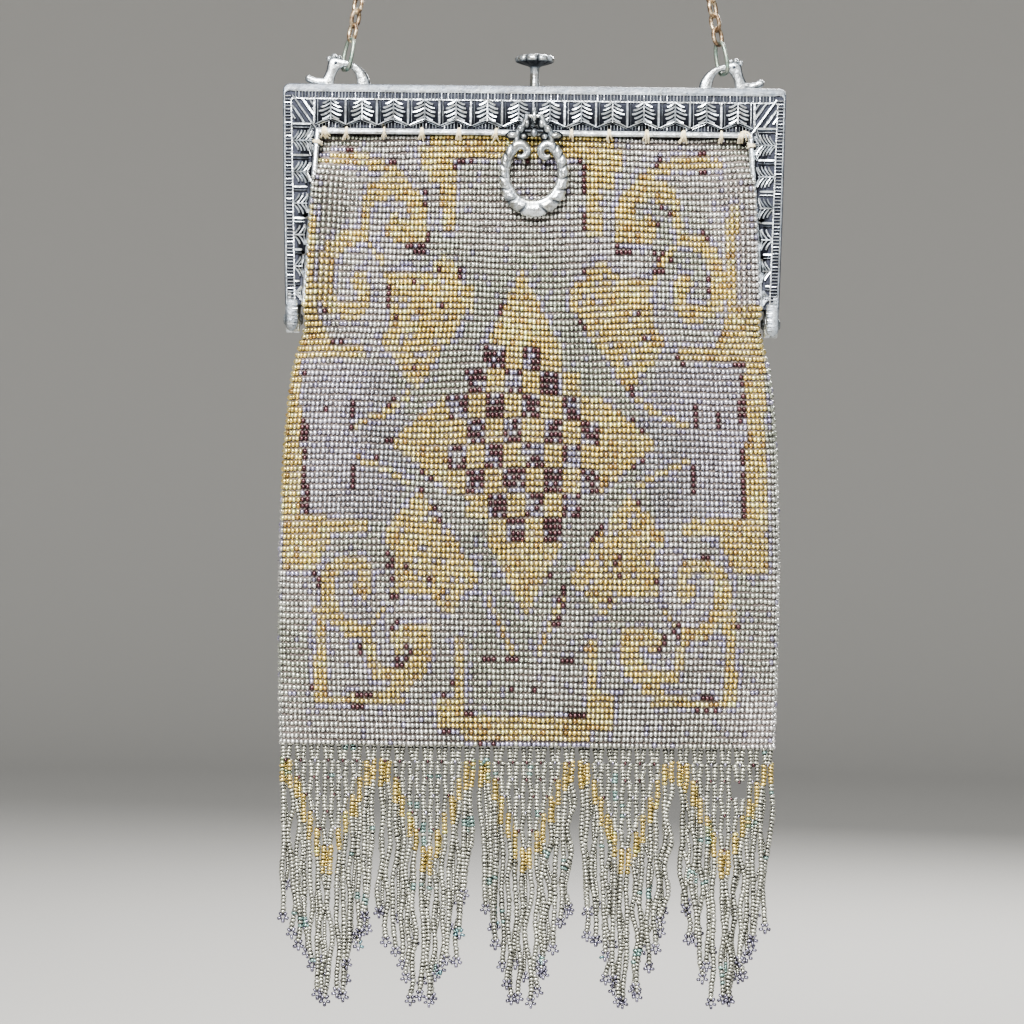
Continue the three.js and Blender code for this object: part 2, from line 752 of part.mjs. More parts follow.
function pullPath() {
  const halfAcross = (pullWidth - pullSideThickness) / 2;
  const halfUp = (pullHeight - (pullFootThickness + pullSideThickness) / 2) / 2;
  const centre = -(pullNeck + pullSideThickness / 2 + halfUp);
  const curlRadius = pullSideThickness * 0.72;
  const opening = THREE.MathUtils.degToRad(142);
  const ringSteps = 9;
  const curlSteps = 4;
  const side = [];
  for (let step = 0; step <= ringSteps; step += 1) {
    const angle = (step / ringSteps) * opening;
    const share = step / ringSteps;
    const thickness = THREE.MathUtils.lerp(pullFootThickness, pullSideThickness, Math.min(share * 1.8, 1));
    side.push({ x: Math.sin(angle) * halfAcross, z: centre - Math.cos(angle) * halfUp, thickness });
  }
  const last = side[ringSteps];
  const heading = Math.atan2(last.z - side[ringSteps - 1].z, last.x - side[ringSteps - 1].x);
  const hub = { x: last.x - Math.sin(heading) * curlRadius, z: last.z + Math.cos(heading) * curlRadius };
  for (let step = 1; step <= curlSteps; step += 1) {
    const share = step / curlSteps;
    const angle = heading - Math.PI / 2 + share * THREE.MathUtils.degToRad(190);
    const radius = curlRadius * (1 - share * 0.25);
    const thickness = pullSideThickness * (1 - share * 0.45);
    side.push({ x: hub.x + Math.cos(angle) * radius, z: hub.z + Math.sin(angle) * radius, thickness });
  }
  const left = side.slice(1).map((row) => ({ ...row, x: -row.x })).reverse();
  return { path: [...left, ...side], shoulder: last };
}

function dropPull() {
  const { path, shoulder } = pullPath();
  const across = new THREE.Vector3(0, 1, 0);
  const points = path.map(({ x, z }) => new THREE.Vector3(x, 0, z));
  const depthOf = (thickness) => pullDepth / 2 * THREE.MathUtils.lerp(0.75, 1, thickness / pullFootThickness);
  const horseshoe = sweep(points, across, (index) => {
    const { thickness } = path[index];
    return [thickness / 2, depthOf(thickness)];
  }, 8);
  const pin = new THREE.CylinderGeometry(pullPinRadius, pullPinRadius, pullPinLength, 10).rotateZ(Math.PI / 2);
  const stemRadius = pullDepth * 0.36;
  const stems = [-1, 1].map((side) => {
    const stem = [
      new THREE.Vector3(side * pullPinLength / 2, 0, stemRadius / 2),
      new THREE.Vector3(side * (pullPinLength / 2 + stemRadius), 0, -pullNeck / 2),
      new THREE.Vector3(side * shoulder.x, 0, shoulder.z),
    ];
    return sweep(stem, across, () => [stemRadius, stemRadius], 8);
  });
  return geometryOf(joined([horseshoe, pin, ...stems]));
}

function pullBail() {
  const across = new THREE.Vector3(1, 0, 0);
  const inside = plateBack + clearance / 2;
  const points = [new THREE.Vector3(0, inside, bailRadius), new THREE.Vector3(0, pivotPlane, bailRadius)];
  const bends = 6;
  for (let bend = 1; bend < bends; bend += 1) {
    const angle = (bend / bends) * Math.PI;
    points.push(new THREE.Vector3(0, pivotPlane - Math.sin(angle) * bailRadius, Math.cos(angle) * bailRadius));
  }
  points.push(new THREE.Vector3(0, pivotPlane, -bailRadius), new THREE.Vector3(0, inside, -bailRadius));
  return sweep(points, across, () => [bailWire, bailWire], 6);
}

// The whole purse

const group = new THREE.Group();
const purse = new THREE.Group();
purse.position.z = -hangDrop;
group.add(purse);

addPiece(purse, 'frame_front', frameFront(), castMetal);
addPiece(purse, 'frame_back', frameBack(), castMetal);
addPiece(purse, 'hinge_rivet_right', hingeRivet(), brightMetal);
addPiece(purse, 'hinge_rivet_left', hingeRivet(), brightMetal).rotation.z = Math.PI;
addPiece(purse, 'pouch', bag(), steelBeads);

const groupPitch = bagSections().at(-1).width / fringeGroups;
for (let index = 0; index < fringeGroups; index += 1) {
  const piece = addPiece(purse, `fringe_${index + 1}`, fringeGroup(groupPitch - fringeGap), fringeBeads);
  piece.position.set((index - (fringeGroups - 1) / 2) * groupPitch, 0, -bagDrop - clearance);
}

const loopRight = addPiece(purse, 'handle_loop_right', handleLoop(), brightMetal);
loopRight.position.set(loopSpan / 2, loopPlane, clearance);
const loopLeft = addPiece(purse, 'handle_loop_left', handleLoop(), brightMetal);
loopLeft.position.set(-loopSpan / 2, loopPlane, clearance);
loopLeft.rotation.z = Math.PI;

addPiece(group, 'end_ring_right', endRing(1), chainMetal);
addPiece(group, 'end_ring_left', endRing(-1), chainMetal);
addPiece(group, 'handle_chain', handleChain(), chainMetal);

addPiece(purse, 'clasp_knob', claspKnob(), brightMetal);
addPiece(purse, 'pull_bail', pullBail(), brightMetal).position.z = -pivotDrop;
addPiece(purse, 'drop_pull', dropPull(), brightMetal).position.set(0, pivotPlane, -pivotDrop);

export default group;
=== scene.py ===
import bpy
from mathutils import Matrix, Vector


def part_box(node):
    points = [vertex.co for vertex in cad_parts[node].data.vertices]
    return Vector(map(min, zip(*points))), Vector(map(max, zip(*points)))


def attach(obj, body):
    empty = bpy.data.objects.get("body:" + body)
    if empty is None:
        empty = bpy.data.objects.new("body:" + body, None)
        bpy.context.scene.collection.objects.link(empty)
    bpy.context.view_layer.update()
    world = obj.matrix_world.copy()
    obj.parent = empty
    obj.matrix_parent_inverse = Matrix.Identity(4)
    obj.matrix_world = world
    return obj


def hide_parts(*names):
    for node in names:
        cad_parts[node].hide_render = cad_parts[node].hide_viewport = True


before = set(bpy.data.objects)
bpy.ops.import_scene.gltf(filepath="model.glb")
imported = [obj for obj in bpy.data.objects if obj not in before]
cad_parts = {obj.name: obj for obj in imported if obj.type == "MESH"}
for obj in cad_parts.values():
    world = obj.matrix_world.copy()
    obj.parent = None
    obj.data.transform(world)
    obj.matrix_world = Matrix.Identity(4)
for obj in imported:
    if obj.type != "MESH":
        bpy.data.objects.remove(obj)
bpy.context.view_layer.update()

# A beaded purse of the 1920s: bead cloth, bead fringe and a cast metal frame on a chain.
# Lengths are millimetres in the frame's own axes, and mesh_object turns them into metres.
# The front looks towards -y, and every random draw comes from a seeded generator.

import math

import bmesh
import bpy
import numpy as np

METRES = 0.001


def node_box(name):
    """Lowest and highest corner of a CAD node."""
    low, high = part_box(name)
    return np.array(low) / METRES, np.array(high) / METRES


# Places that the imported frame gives

FRAME_HIGH = node_box("frame_front")[1]
TOP = FRAME_HIGH[2]
HALF_WIDTH = FRAME_HIGH[0]
HEM = node_box("pouch")[0][2]
SIDES = ((1, "right"), (-1, "left"))

# Bead cloth

BEAD_RADIUS = 0.95
BEAD_LENGTH = 1.42
BEAD_SINK = 0.7  # how far a bead's middle lies inside the CAD surface
END_SHADE = 0.4  # painted shade at a bead's two ends, where it meets its neighbours
COLUMN_PITCH = 1.535
ROW_PITCH = 1.98
GROUND_SINK = 1.15  # the threads behind the beads
GROUND_WALL = 0.5
LAP_REACH = 1.5  # how far the cloth laps over the arms, and its height above their rim
LAP_RISE = 0.75
COVER_DROP = 30  # where the cloth starts to cover the arms, below the frame's top
LAP_START = (20, 32)  # drops between which the lap grows, and shrinks again
LAP_END = (71, 84)
LAP_FRONT = (0.1, 0.17)  # shares of the depth between which it grows
JITTER = 0.05  # how far beads stray from their places
CLOTH_TURN = 0.07  # how much beads differ in their turn and size
CLOTH_SIZES = 0.05
MOUTH_ROUND = 0.55  # powers of the pouch's section, across and through
MOUTH_FLAT = 0.8
CLOTH_HALF = 86.0  # half of the front, measured along the cloth
CLOTH_START = 0.8  # first row's height above the hem
CLOTH_TUCK = 2.5  # how far the cloth goes up behind the band
STAR_HEIGHT = 99.0  # star's centre above the hem
PATTERN_SHIFT = -2.3  # the pattern's middle at the star, and its lean to the left for each mm up
PATTERN_LEAN = -0.0215

# Fringe

FRINGE_BEAD_RADIUS = 1.08
FRINGE_BEAD_PITCH = 1.15
FRINGE_ROW = 5.6  # height of a row of the net
FRINGE_ROWS = 7
FRINGE_LONG = 88.0
FRINGE_SHORT = 52.0
FRINGE_LOOP = 5  # beads in a strand's end loop
# painted shade at the fringe beads' ends, where they meet along a string
FRINGE_END_SHADE = 0.22
FRINGE_TURN = 0.09
FRINGE_SIZES = 0.07
THIN_STRAND = 0.74  # size of the strands behind
KNOT_BEAD = 0.68  # size of the bead that ties two segments of the net, and of an end loop's beads
LOOP_BEAD = 0.85
NET_BEADS = 5  # beads in a segment of the net, and how far it leans to its neighbour
NET_LEAN = 0.42
LOOP_DROP = 3  # height that an end loop takes

# Frame

BAND_HEIGHT = 16.2
ARM_TOP = 12.3
ARM_LOW = 7.0
ARM_PLATE = 72.0  # where an arm's ornament stops
HINGE_DROP = 76.6  # hinge below the frame's top
HINGE_RADIUS = 4.4
EAR_WIDTH = 2.1
KNUCKLE_WIDTH = 4.3
ARM_LEAN = 2.2
ARM_LENGTH = 81.0
PLATE_FRONT = 6.5
PLATE_WALL = 1.6
FLANGE_WALL = 1.5
PARTING = 0.15
LIP_TOP = 2.6
LIP_SIDE = 0.9
LIP_RAISE = 0.5
RIB_STRIP = 2.4
RIB_PITCH = 1.08
RIM_WIDTH = 1.8
RIM_RAISE = 0.9
PANEL_PITCH = 10.2
PANELS = 14
ARM_PANEL_PITCH = 10.25
ARM_PANELS = 6
ARM_PANEL_START = 13.5  # the arm's first column below the frame's top
HOLE_PITCH = 12.2
HOLE_CORNER = 68.4  # the outermost holes of the band
HOLE_RADIUS = 0.95
HOLE_INSET = 0.9  # a hole's middle from the rim
CORNER_ROUND = 2.2
CORNER_STROKES = [  # beside the mitre: distance, start, end and width
    (2.0, 0.2, 0.72, 1.7), (3.7, 0.34, 0.52, 1.3),
]

# Handle, clasp and pull

LOOP_X = 62.0
LOOP_PLANE = 1.75
LOOP_THICKNESS = 2.6
LOOP_EYE_WIDTH = 7.2
LOOP_EYE_HEIGHT = 6.3
CHAIN_THICKNESS = 4.4
HOOK_RADIUS = 5.0
RING_WIRE = 1.3
RING_LENGTH = 9.0
RING_WIDTH = 5.4
RING_TURN = math.radians(25)
LINK_PITCH = 4.7
LINK_LENGTH = 7.0
LINK_WIDTH = 4.7
LINK_WIRE = 1.4
CLEARANCE = 0.3
CLASP_HEIGHT = 11.2
PIVOT_DROP = 10.2
PIVOT_PLANE = -9.3


# Meshes

class Form:
    """The points and faces of one mesh, gathered from several closed bodies."""

    def __init__(self):
        self.points, self.relief, self.faces = [], [], {}
        self.count = 0

    def add(self, rings, relief=1.0, closed=False):
        """Adds a body through rings of points. relief runs from 0, deep, to 1, high."""
        points = np.reshape(rings, (-1, 3)).astype(float)
        for group in ring_faces(*np.shape(rings)[:2], closed):
            self.faces.setdefault(len(group[0]), []).append(np.array(group) + self.count)
        self.points.append(points)
        self.relief.append(np.broadcast_to(np.ravel(relief), len(points)))
        self.count += len(points)

    def groups(self):
        return [np.concatenate(groups) for groups in self.faces.values()]


def ring_faces(count, sides, closed=False):
    """Quads between rings of points, and a cap on either end unless the rings close in a loop."""
    quads = []
    for ring in range(count if closed else count - 1):
        here, after = ring * sides, (ring + 1) % count * sides
        for side in range(sides):
            beside = (side + 1) % sides
            quads.append([here + side, here + beside, after + beside, after + side])
    if closed:
        return [quads]
    last = (count - 1) * sides
    return [quads, [list(range(sides))[::-1], list(range(last, last + sides))]]


def show(name, data):
    """A new object of the scene."""
    made = bpy.data.objects.new(name, data)
    bpy.context.scene.collection.objects.link(made)
    return made


def mesh_object(name, points, faces, paint, body, slot, recalculate=True, **fields):
    """One mesh piece that rides on a body. Each field is a value or a colour for every point."""
    mesh = bpy.data.meshes.new(name)
    mesh.vertices.add(len(points))
    mesh.vertices.foreach_set("co", (np.asarray(points) * METRES).astype(np.float32).ravel())
    corners = np.concatenate([np.ravel(group) for group in faces])
    sizes = np.concatenate([np.full(len(group), np.shape(group)[1]) for group in faces])
    mesh.loops.add(len(corners))
    mesh.loops.foreach_set("vertex_index", corners.astype(np.int32))
    mesh.polygons.add(len(sizes))
    mesh.polygons.foreach_set("loop_start", (np.cumsum(sizes) - sizes).astype(np.int32))
    mesh.polygons.foreach_set("use_smooth", np.ones(len(sizes), bool))
    for field, values in fields.items():
        kind, key = ("FLOAT_COLOR", "color") if np.ndim(values) == 2 else ("FLOAT", "value")
        attribute = mesh.attributes.new(field, kind, "POINT")
        attribute.data.foreach_set(key, np.asarray(values, np.float32).ravel())
    mesh.update(calc_edges=True)
    mesh.validate()
    if recalculate:
        shell = bmesh.new()
        shell.from_mesh(mesh)
        bmesh.ops.recalc_face_normals(shell, faces=shell.faces)
        shell.to_mesh(mesh)
        shell.free()
    mesh.materials.append(paint)
    piece = show(name, mesh)
    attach(piece, body)
    return piece


def form_object(name, form, paint, body, slot, crease=40):
    """A Form as a piece, smooth except where its faces meet at more than the crease angle."""
    piece = mesh_object(name, np.concatenate(form.points), form.groups(), paint, body, slot,
                        relief=np.concatenate(form.relief))
    piece.data.set_sharp_from_angle(angle=math.radians(crease))
    return piece


def unit(vectors):
    vectors = np.asarray(vectors, float)
    return vectors / np.linalg.norm(vectors, axis=-1, keepdims=True)


def circle(sides, square=1.0):
    """Cosines and sines in even steps round a circle, or a rounded square for a power below 1."""
    angle = np.arange(sides) / sides * 2 * np.pi
    return [np.sign(wave) * np.abs(wave) ** square for wave in (np.cos(angle), np.sin(angle))]


def tube(form, path, radii, normal, sides=10, closed=False, relief=1.0, square=1.0):
    """A tube along a path. radii are a number, or a pair for each point: across the normal, along it."""
    path = np.asarray(path, float)
    if closed:
        tangent = unit(np.roll(path, -1, 0) - np.roll(path, 1, 0))
    else:
        tangent = unit(np.gradient(path, axis=0))
    across = unit(np.cross(tangent, normal))
    along = unit(np.cross(across, tangent))
    radii = np.broadcast_to(radii, (len(path), 2))
    cos, sin = circle(sides, square)
    rings = (path[:, None] + across[:, None] * (cos * radii[:, :1])[..., None]
             + along[:, None] * (sin * radii[:, 1:])[..., None])
    form.add(rings, relief, closed)


def oval(centre, along, across, square, count):
    """A link's line, from its half axes, with the long sides made flatter."""
    cos, sin = circle(count)[0], circle(count, square)[1]
    return centre + cos[:, None] * along + sin[:, None] * across


def lathe(form, profile, base, lobes, valley_depth, lobe_from, sides=108):
    """A turned body on the z axis. Beyond the radius lobe_from narrow valleys part its rim into lobes."""
    cos, sin = circle(sides)
    valley = (1 - np.abs(np.sin(np.arange(sides) / sides * np.pi * lobes))) ** 2
    rings, relief = [], []
    for radius, height, shade in profile:
        deep = valley * (radius > lobe_from)
        reach = radius * (1 - valley_depth * deep)
        rings.append(np.stack([cos * reach, sin * reach, np.full(sides, base + height)], 1))
        relief.append(shade * (1 - deep))
    form.add(rings, relief)


def smooth_path(points, count):
    """A smooth curve through the points, as count even steps."""
    points = np.asarray(points, float)
    padded = np.concatenate([[2 * points[0] - points[1]], points, [2 * points[-1] - points[-2]]])
    dense = []
    for index in range(1, len(padded) - 2):
        before, start, end, after = padded[index - 1:index + 3]
        for share in np.arange(0, 1, 0.05):
            dense.append(0.5 * (
                2 * start + (end - before) * share
                + (2 * before - 5 * start + 4 * end - after) * share ** 2
                + (3 * start - before - 3 * end + after) * share ** 3
            ))
    dense.append(points[-1])
    return even_steps(np.array(dense), count)


def travelled(path):
    """The distance along a path to each of its points."""
    return np.concatenate([[0], np.cumsum(np.linalg.norm(np.diff(path, axis=0), axis=1))])


def places_at(path, stops):
    """The places at those distances along a path."""
    lengths = travelled(path)
    return np.stack([np.interp(stops, lengths, values) for values in path.T], 1)


def even_steps(path, count):
    """count points at even distances along a path."""
    return places_at(path, np.linspace(0, travelled(path)[-1], count))


# Materials

def linear(colour):
    """An sRGB colour of 0 to 255 as linear values."""
    share = np.asarray(colour, float) / 255
    return np.where(share <= 0.04045, share / 12.92, ((share + 0.055) / 1.055) ** 2.4)


def rgba(colour):
    return (*linear(colour), 1.0)


class Paint:
    """A node material around one Principled shader."""

    def __init__(self, name, **inputs):
        self.material = bpy.data.materials.new(name)
        self.material.use_nodes = True
        self.tree = self.material.node_tree
        self.shader = self.tree.nodes["Principled BSDF"]
        self.feed(self.shader, {socket.replace("_", " "): value for socket, value in inputs.items()})

    def feed(self, node, inputs):
        """Fills a node's inputs, each with a number, an sRGB colour or another node's output."""
        for socket, value in inputs.items():
            if isinstance(value, bpy.types.NodeSocket):
                self.tree.links.new(value, node.inputs[socket])
            else:
                node.inputs[socket].default_value = rgba(value) if np.ndim(value) else value

    def node(self, kind, output, inputs=None, **settings):
        """Adds a node and returns one of its outputs."""
        made = self.tree.nodes.new("ShaderNode" + kind)
        for key, value in settings.items():
            setattr(made, key, value)
        self.feed(made, inputs or {})
        return made.outputs[output]

    def noise(self, scale, detail=3.0, roughness=0.5):
        place = self.node("TexCoord", "Object")
        inputs = {"Vector": place, "Scale": scale, "Detail": detail, "Roughness": roughness}
        return self.node("TexNoise", "Fac", inputs)

    def attribute(self, name, output):
        return self.node("Attribute", output, attribute_name=name)

    def ramp(self, value, stops):
        """A colour ramp. Each stop is its place and an sRGB colour."""
        colour = self.node("ValToRGB", "Color", {"Fac": value})
        elements = colour.node.color_ramp.elements
        while len(elements) < len(stops):
            elements.new(0.5)
        for element, (place, tone) in zip(elements, stops):
            element.position = place
            element.color = rgba(tone)
        return colour

    def mix(self, share, first, second, blend="MIX"):
        """Mixes two colours by a share."""
        return self.node("Mix", 2, {0: share, 6: first, 7: second}, data_type="RGBA", blend_type=blend)

    def multiply(self, first, second):
        return self.node("Math", 0, {0: first, 1: second}, operation="MULTIPLY")

    def span(self, value, low, high, to_low=0.0, to_high=1.0):
        """Maps a value from one range to another."""
        inputs = {"From Min": low, "From Max": high, "To Min": to_low, "To Max": to_high}
        return self.node("MapRange", "Result", {"Value": value, **inputs})

    def dress(self, colour, roughness, height, strength, distance):
        """Gives the shader its colour, roughness and bump, and returns the material."""
        normal = self.node("Bump", "Normal", {"Height": height, "Strength": strength, "Distance": distance})
        self.feed(self.shader, {"Base Color": colour, "Roughness": roughness, "Normal": normal})
        return self.material


def bead_paint(name, roughness):
    """Cut steel beads: a metal that takes its colour from each bead, with dull and worn patches."""
    paint = Paint(name, Metallic=0.82)
    worn = paint.span(paint.noise(900, 2), 0.35, 0.7, 0.62, 1.12)
    # the bead colour attribute includes painted shade at each bead's two ends
    colour = paint.mix(1.0, paint.attribute("tint", "Color"), worn, "MULTIPLY")
    dull = paint.span(paint.noise(260, 3), 0.4, 0.7, roughness - 0.06, roughness + 0.16)
    return paint.dress(colour, dull, paint.noise(2600, 2), 0.25, 0.0001)


def cast_paint(name, deep, middle, bright, film, roughness, tarnish):
    """Old cast white metal: dark oxide in the hollows, bare metal on what stands proud, a film in patches."""
    paint = Paint(name, Metallic=0.92)
    relief = paint.attribute("relief", "Fac")
    patchy = paint.span(paint.noise(160, 4, 0.6), 0.3, 0.7, 1 - tarnish, 1 + tarnish * 0.5)
    metal = paint.ramp(paint.multiply(relief, patchy), [(0.0, deep), (0.45, middle), (0.85, bright)])
    patches = paint.span(paint.noise(420, 5, 0.7), 0.42, 0.62, 0.0, 0.85)
    filmed = paint.mix(paint.multiply(relief, patches), metal, film)
    spotted = paint.mix(paint.span(paint.noise(1400, 3), 0.56, 0.72, 0.0, 0.55), filmed, deep)
    dull = paint.span(relief, 0.0, 1.0, roughness + 0.3, roughness)
    return paint.dress(spotted, dull, paint.noise(750, 4, 0.6), 0.5, 0.0004)


def chain_paint():
    """Brassy steel links gone brown with rust."""
    paint = Paint("chain_metal_paint", Metallic=0.85)
    rust = paint.noise(420, 4, 0.65)
    metal = paint.ramp(rust, [(0.34, (70, 57, 47)), (0.5, (128, 108, 86)), (0.66, (214, 202, 176))])
    return paint.dress(metal, paint.span(rust, 0.3, 0.7, 0.62, 0.36), paint.noise(1500, 4), 0.4, 0.0002)


def thread_paint(name, dark, pale):
    """Silk thread with a fine twist."""
    paint = Paint(name, Sheen_Weight=0.3)
    shade = paint.ramp(paint.noise(1200, 3), [(0.35, dark), (0.7, pale)])
    return paint.dress(shade, 0.8, paint.noise(3000, 2), 0.4, 0.0001)


CLOTH_BEADS = bead_paint("cloth_bead_paint", 0.27)
FRINGE_BEADS = bead_paint("fringe_bead_paint", 0.25)
CAST_TONES = {  # colours of the hollows, the slopes, the tops and the film, then roughness and tarnish
    "cast": ((50, 52, 60), (126, 133, 141), (224, 231, 238), (138, 137, 132), 0.3, 0.4),
    "pull": ((38, 41, 46), (116, 122, 128), (204, 210, 214), (124, 121, 110), 0.26, 0.55),
    "bright": ((50, 54, 60), (124, 129, 134), (194, 199, 202), (126, 126, 122), 0.28, 0.42),
    "ring": ((58, 62, 56), (112, 118, 108), (168, 172, 160), (96, 132, 122), 0.38, 0.3),
    "rivet": ((118, 122, 124), (146, 150, 152), (176, 180, 182), (128, 128, 122), 0.3, 0.3),
}
METALS = {name: cast_paint(f"{name}_metal_paint", *tones) for name, tones in CAST_TONES.items()}
CHAIN_METAL = chain_paint()
GROUND_THREAD = thread_paint("ground_thread_paint", (64, 56, 56), (116, 106, 100))
CREAM_THREAD = thread_paint("cream_thread_paint", (186, 172, 136), (228, 218, 188))


# Beads

def barrel(length, radius, sides=6, pinch=0.6):
    """A bead about the x axis: three rings of points, and their faces."""
    cos, sin = circle(sides)
    rings = [(-length / 2, radius * pinch), (0, radius), (length / 2, radius * pinch)]
    points = [np.stack([np.full(sides, x), reach * cos, reach * sin], 1) for x, reach in rings]
    return np.concatenate(points), ring_faces(len(rings), sides)


def bead_mesh(name, bead, centres, axes, colours, paint, slot, end_shade=END_SHADE):
    """One piece of many beads. axes are each bead's own three directions, its bore first."""
    points, groups = bead
    placed = centres[:, None] + np.einsum("pk,nkc->npc", points, axes)
    shift = (np.arange(len(centres)) * len(points))[:, None, None]
    faces = [(np.array(group) + shift).reshape(-1, len(group[0])) for group in groups]
    # painted shade: each bead's two end rings are darkened by end_shade, where beads touch
    shade = np.where(points[:, 0] == 0, 1.0, end_shade)
    tint = np.ones((len(centres), len(points), 4))
    tint[:, :, :3] = colours[:, None] * shade[None, :, None]
    return mesh_object(name, placed.reshape(-1, 3), faces, paint, "purse", slot,
                       recalculate=False, tint=tint.reshape(-1, 4))


def bead_axes(along, up, rng, turn, size):
    """Each bead's directions, turned and scaled a little by chance."""
    count = len(along)
    along = unit(along + rng.normal(0, turn, (count, 3)))
    across = unit(np.cross(along, up))
    up = np.cross(across, along)
    spin = rng.normal(0, turn, count)[:, None]
    first = up * np.cos(spin) + across * np.sin(spin)
    scale = rng.normal(1, size, (count, 3, 1))
    return np.stack([along, first, np.cross(along, first)], 1) * np.clip(scale, 0.85, 1.15)


def ripple(x, z, length, seed):
    """A smooth random field from about -1 to 1 with waves of about that length."""
    rng = np.random.default_rng(seed)
    total = np.zeros(np.shape(x))
    for _ in range(7):
        heading = rng.uniform(0, 2 * math.pi)
        pitch = length * rng.uniform(0.7, 1.6)
        phase = rng.uniform(0, 2 * math.pi)
        total = total + np.sin((x * math.cos(heading) + z * math.sin(heading)) / pitch * 2 * math.pi + phase)
    return total / 3.5


# The pattern, charted from the star's centre: u to either side and v upwards

SCROLLS = [  # width, then the line's points
    (3.5, [(64, 91.8), (50.4, 91.8), (44.8, 89.6), (38.8, 86.2)]),
    (6.2, [(47, 82.2), (41.4, 83), (35.4, 80.4), (33.6, 75), (33.6, 68)]),
    (7.0, [(40.6, 69.1), (36, 68.7)]),
    (3.6, [(41.8, 70), (41.2, 73.2)]),
    (3.2, [(48.9, 81), (50.4, 77), (51.2, 71)]),
    (5.0, [(52.8, 67), (57.6, 66.3), (61.1, 63.2), (63, 59.5), (64.5, 54.5), (64.5, 49.5), (62.8, 45.3),
           (58.5, 43), (53.4, 43), (51.7, 46)]),
    (5.6, [(53, 52.6), (52.6, 51.2)]),
    (3.0, [(51.2, 50), (51, 45)]),
    (1.6, [(49.8, 65), (45.4, 58.6)]),
    (1.9, [(37.3, 15.5), (41.3, 11.6), (45, 9.4), (50, 7.6), (54.2, 5.6)]),
]
CUFF = [(68.4, 45), (79, 45), (79, 31), (62, 31), (65.4, 39)]
TOP_BARS = [  # lowest and highest u, then v
    (67.2, 70.4, 44, 78),
    (0, 30, 93.2, 102),
    (21.6, 33, 88, 96.5),
    (21.6, 30, 84, 88),
    (21.6, 26, 68.3, 84),
]
EDGE_BARS = [
    (51.4, 79, 26.8, 31.2),
    (72.6, 79, -28, 28),
]
FOOT_BARS = [
    (64.8, 68.8, -86, -54),
    (40, 68.8, -86, -82.8),
    (19.6, 23.6, -90, -64),
    (19.6, 28.6, -90, -82.5),
    (0, 28.6, -93.6, -89.4),
    (0, 21, -96.6, -93),
]
FOOT_CHEVRON = [(12.4, -49.5), (4.2, -68.5)]
FOOT_BOX = [(0, 19, -88, -62)]
DARK_BARS = [
    (55, 56.6, 6, 14), (55, 56.6, -15, -7), (63, 64.6, 6, 11), (70.4, 72.4, -24, 24), (30, 44, 62.2, 64.2),
    (3, 16.4, -71.4, -69.4), (0, 8, -81, -79), (14, 19.6, -89.4, -87.4),
]
QUATREFOIL = [
    (45, 54.7), (30.5, 54.7), (27.8, 58.9), (25.3, 60.6), (22, 58.3), (20.3, 53.8), (15.5, 50.5),
    (15.5, 42.7), (20.3, 40.8), (21.3, 35.2), (25.9, 30.4), (28.5, 26.4), (31.1, 21.9), (34.3, 17),
    (38.2, 21.3), (41.5, 25.8), (44.7, 29.7), (46.2, 34.3), (43, 37.8), (43, 50.8),
]
FOOT_STRETCH = 1.09  # the lower half is a little shorter than the upper one
CHECK_WIDTH = 6.16
CHECK_HEIGHT = 7.92
CHECK_REACH = [4, 4, 3, 2, 0]  # cells to either side, from the star's middle row outwards
TALL_POINT = (31.7, 12.3, 57)  # a gold point's foot, half its width there and its tip
WIDE_POINT = (24.6, 15.8, 43.5)
LATTICE_PITCH = 11  # crossing lines on the quatrefoils, and half a line's width
LATTICE_LINE = 0.9
EDGE_ASIDE = 1.6  # how far the edge round the gold reaches, to the side and up
EDGE_UP = 2
FIELD_HEIGHT = 26  # the lavender fields at the sides: half their height, and from where to where
FIELD_FROM = 34
FIELD_TO = 73


def on_stroke(u, v, route, width):
    """Which points lie on a line of that width through the route."""
    near = np.zeros(len(u), bool)
    for (u1, v1), (u2, v2) in zip(route, route[1:]):
        du, dv = u2 - u1, v2 - v1
        share = np.clip(((u - u1) * du + (v - v1) * dv) / (du * du + dv * dv), 0, 1)
        near |= np.hypot(u - u1 - share * du, v - v1 - share * dv) < width / 2
    return near


def in_polygon(u, v, corners):
    """Which points lie inside an outline."""
    inside = np.zeros(len(u), bool)
    for (u1, v1), (u2, v2) in zip(corners, corners[1:] + corners[:1]):
        if v1 != v2:
            inside ^= ((v1 > v) != (v2 > v)) & (u < u1 + (v - v1) / (v2 - v1) * (u2 - u1))
    return inside


def in_bars(u, v, bars):
    found = np.zeros(len(u), bool)
    for low_u, high_u, low_v, high_v in bars:
        found |= (u >= low_u) & (u <= high_u) & (v >= low_v) & (v <= high_v)
    return found


def star_points(u, v):
    """The star's four gold triangles."""
    foot, half, tip = TALL_POINT
    tall = (v >= foot) & (u < half * (tip - v) / (tip - foot))
    foot, half, tip = WIDE_POINT
    return tall | (u >= foot) & (v < half * (tip - u) / (tip - foot))


def mirrored(v):
    """The height at which the upper half has what the lower half repeats."""
    return np.where(v < 0, -v * FOOT_STRETCH, v)


def gold_places(u, v):
    """Where the ornament is gold, apart from the star's checks."""
    height = mirrored(v)
    gold = in_polygon(u, height, QUATREFOIL) | in_polygon(u, height, CUFF) | in_bars(u, height, EDGE_BARS)
    for width, route in SCROLLS:
        gold |= on_stroke(u, height, route, width)
    gold |= in_bars(u, v, TOP_BARS + FOOT_BARS) | on_stroke(u, v, FOOT_CHEVRON, 1.5)
    return gold | star_points(u, np.abs(v))


def star_checks(across, v):
    """Whether a point lies in the star's checks, and its cell's column and row."""
    column = np.floor(across / CHECK_WIDTH).astype(int)
    row = np.floor(v / CHECK_HEIGHT).astype(int)
    from_middle, side = (np.where(cell < 0, -cell - 1, cell) for cell in (row, column))
    reach = np.array(CHECK_REACH)[np.clip(from_middle, 0, len(CHECK_REACH) - 1)]
    return side < reach, column, row


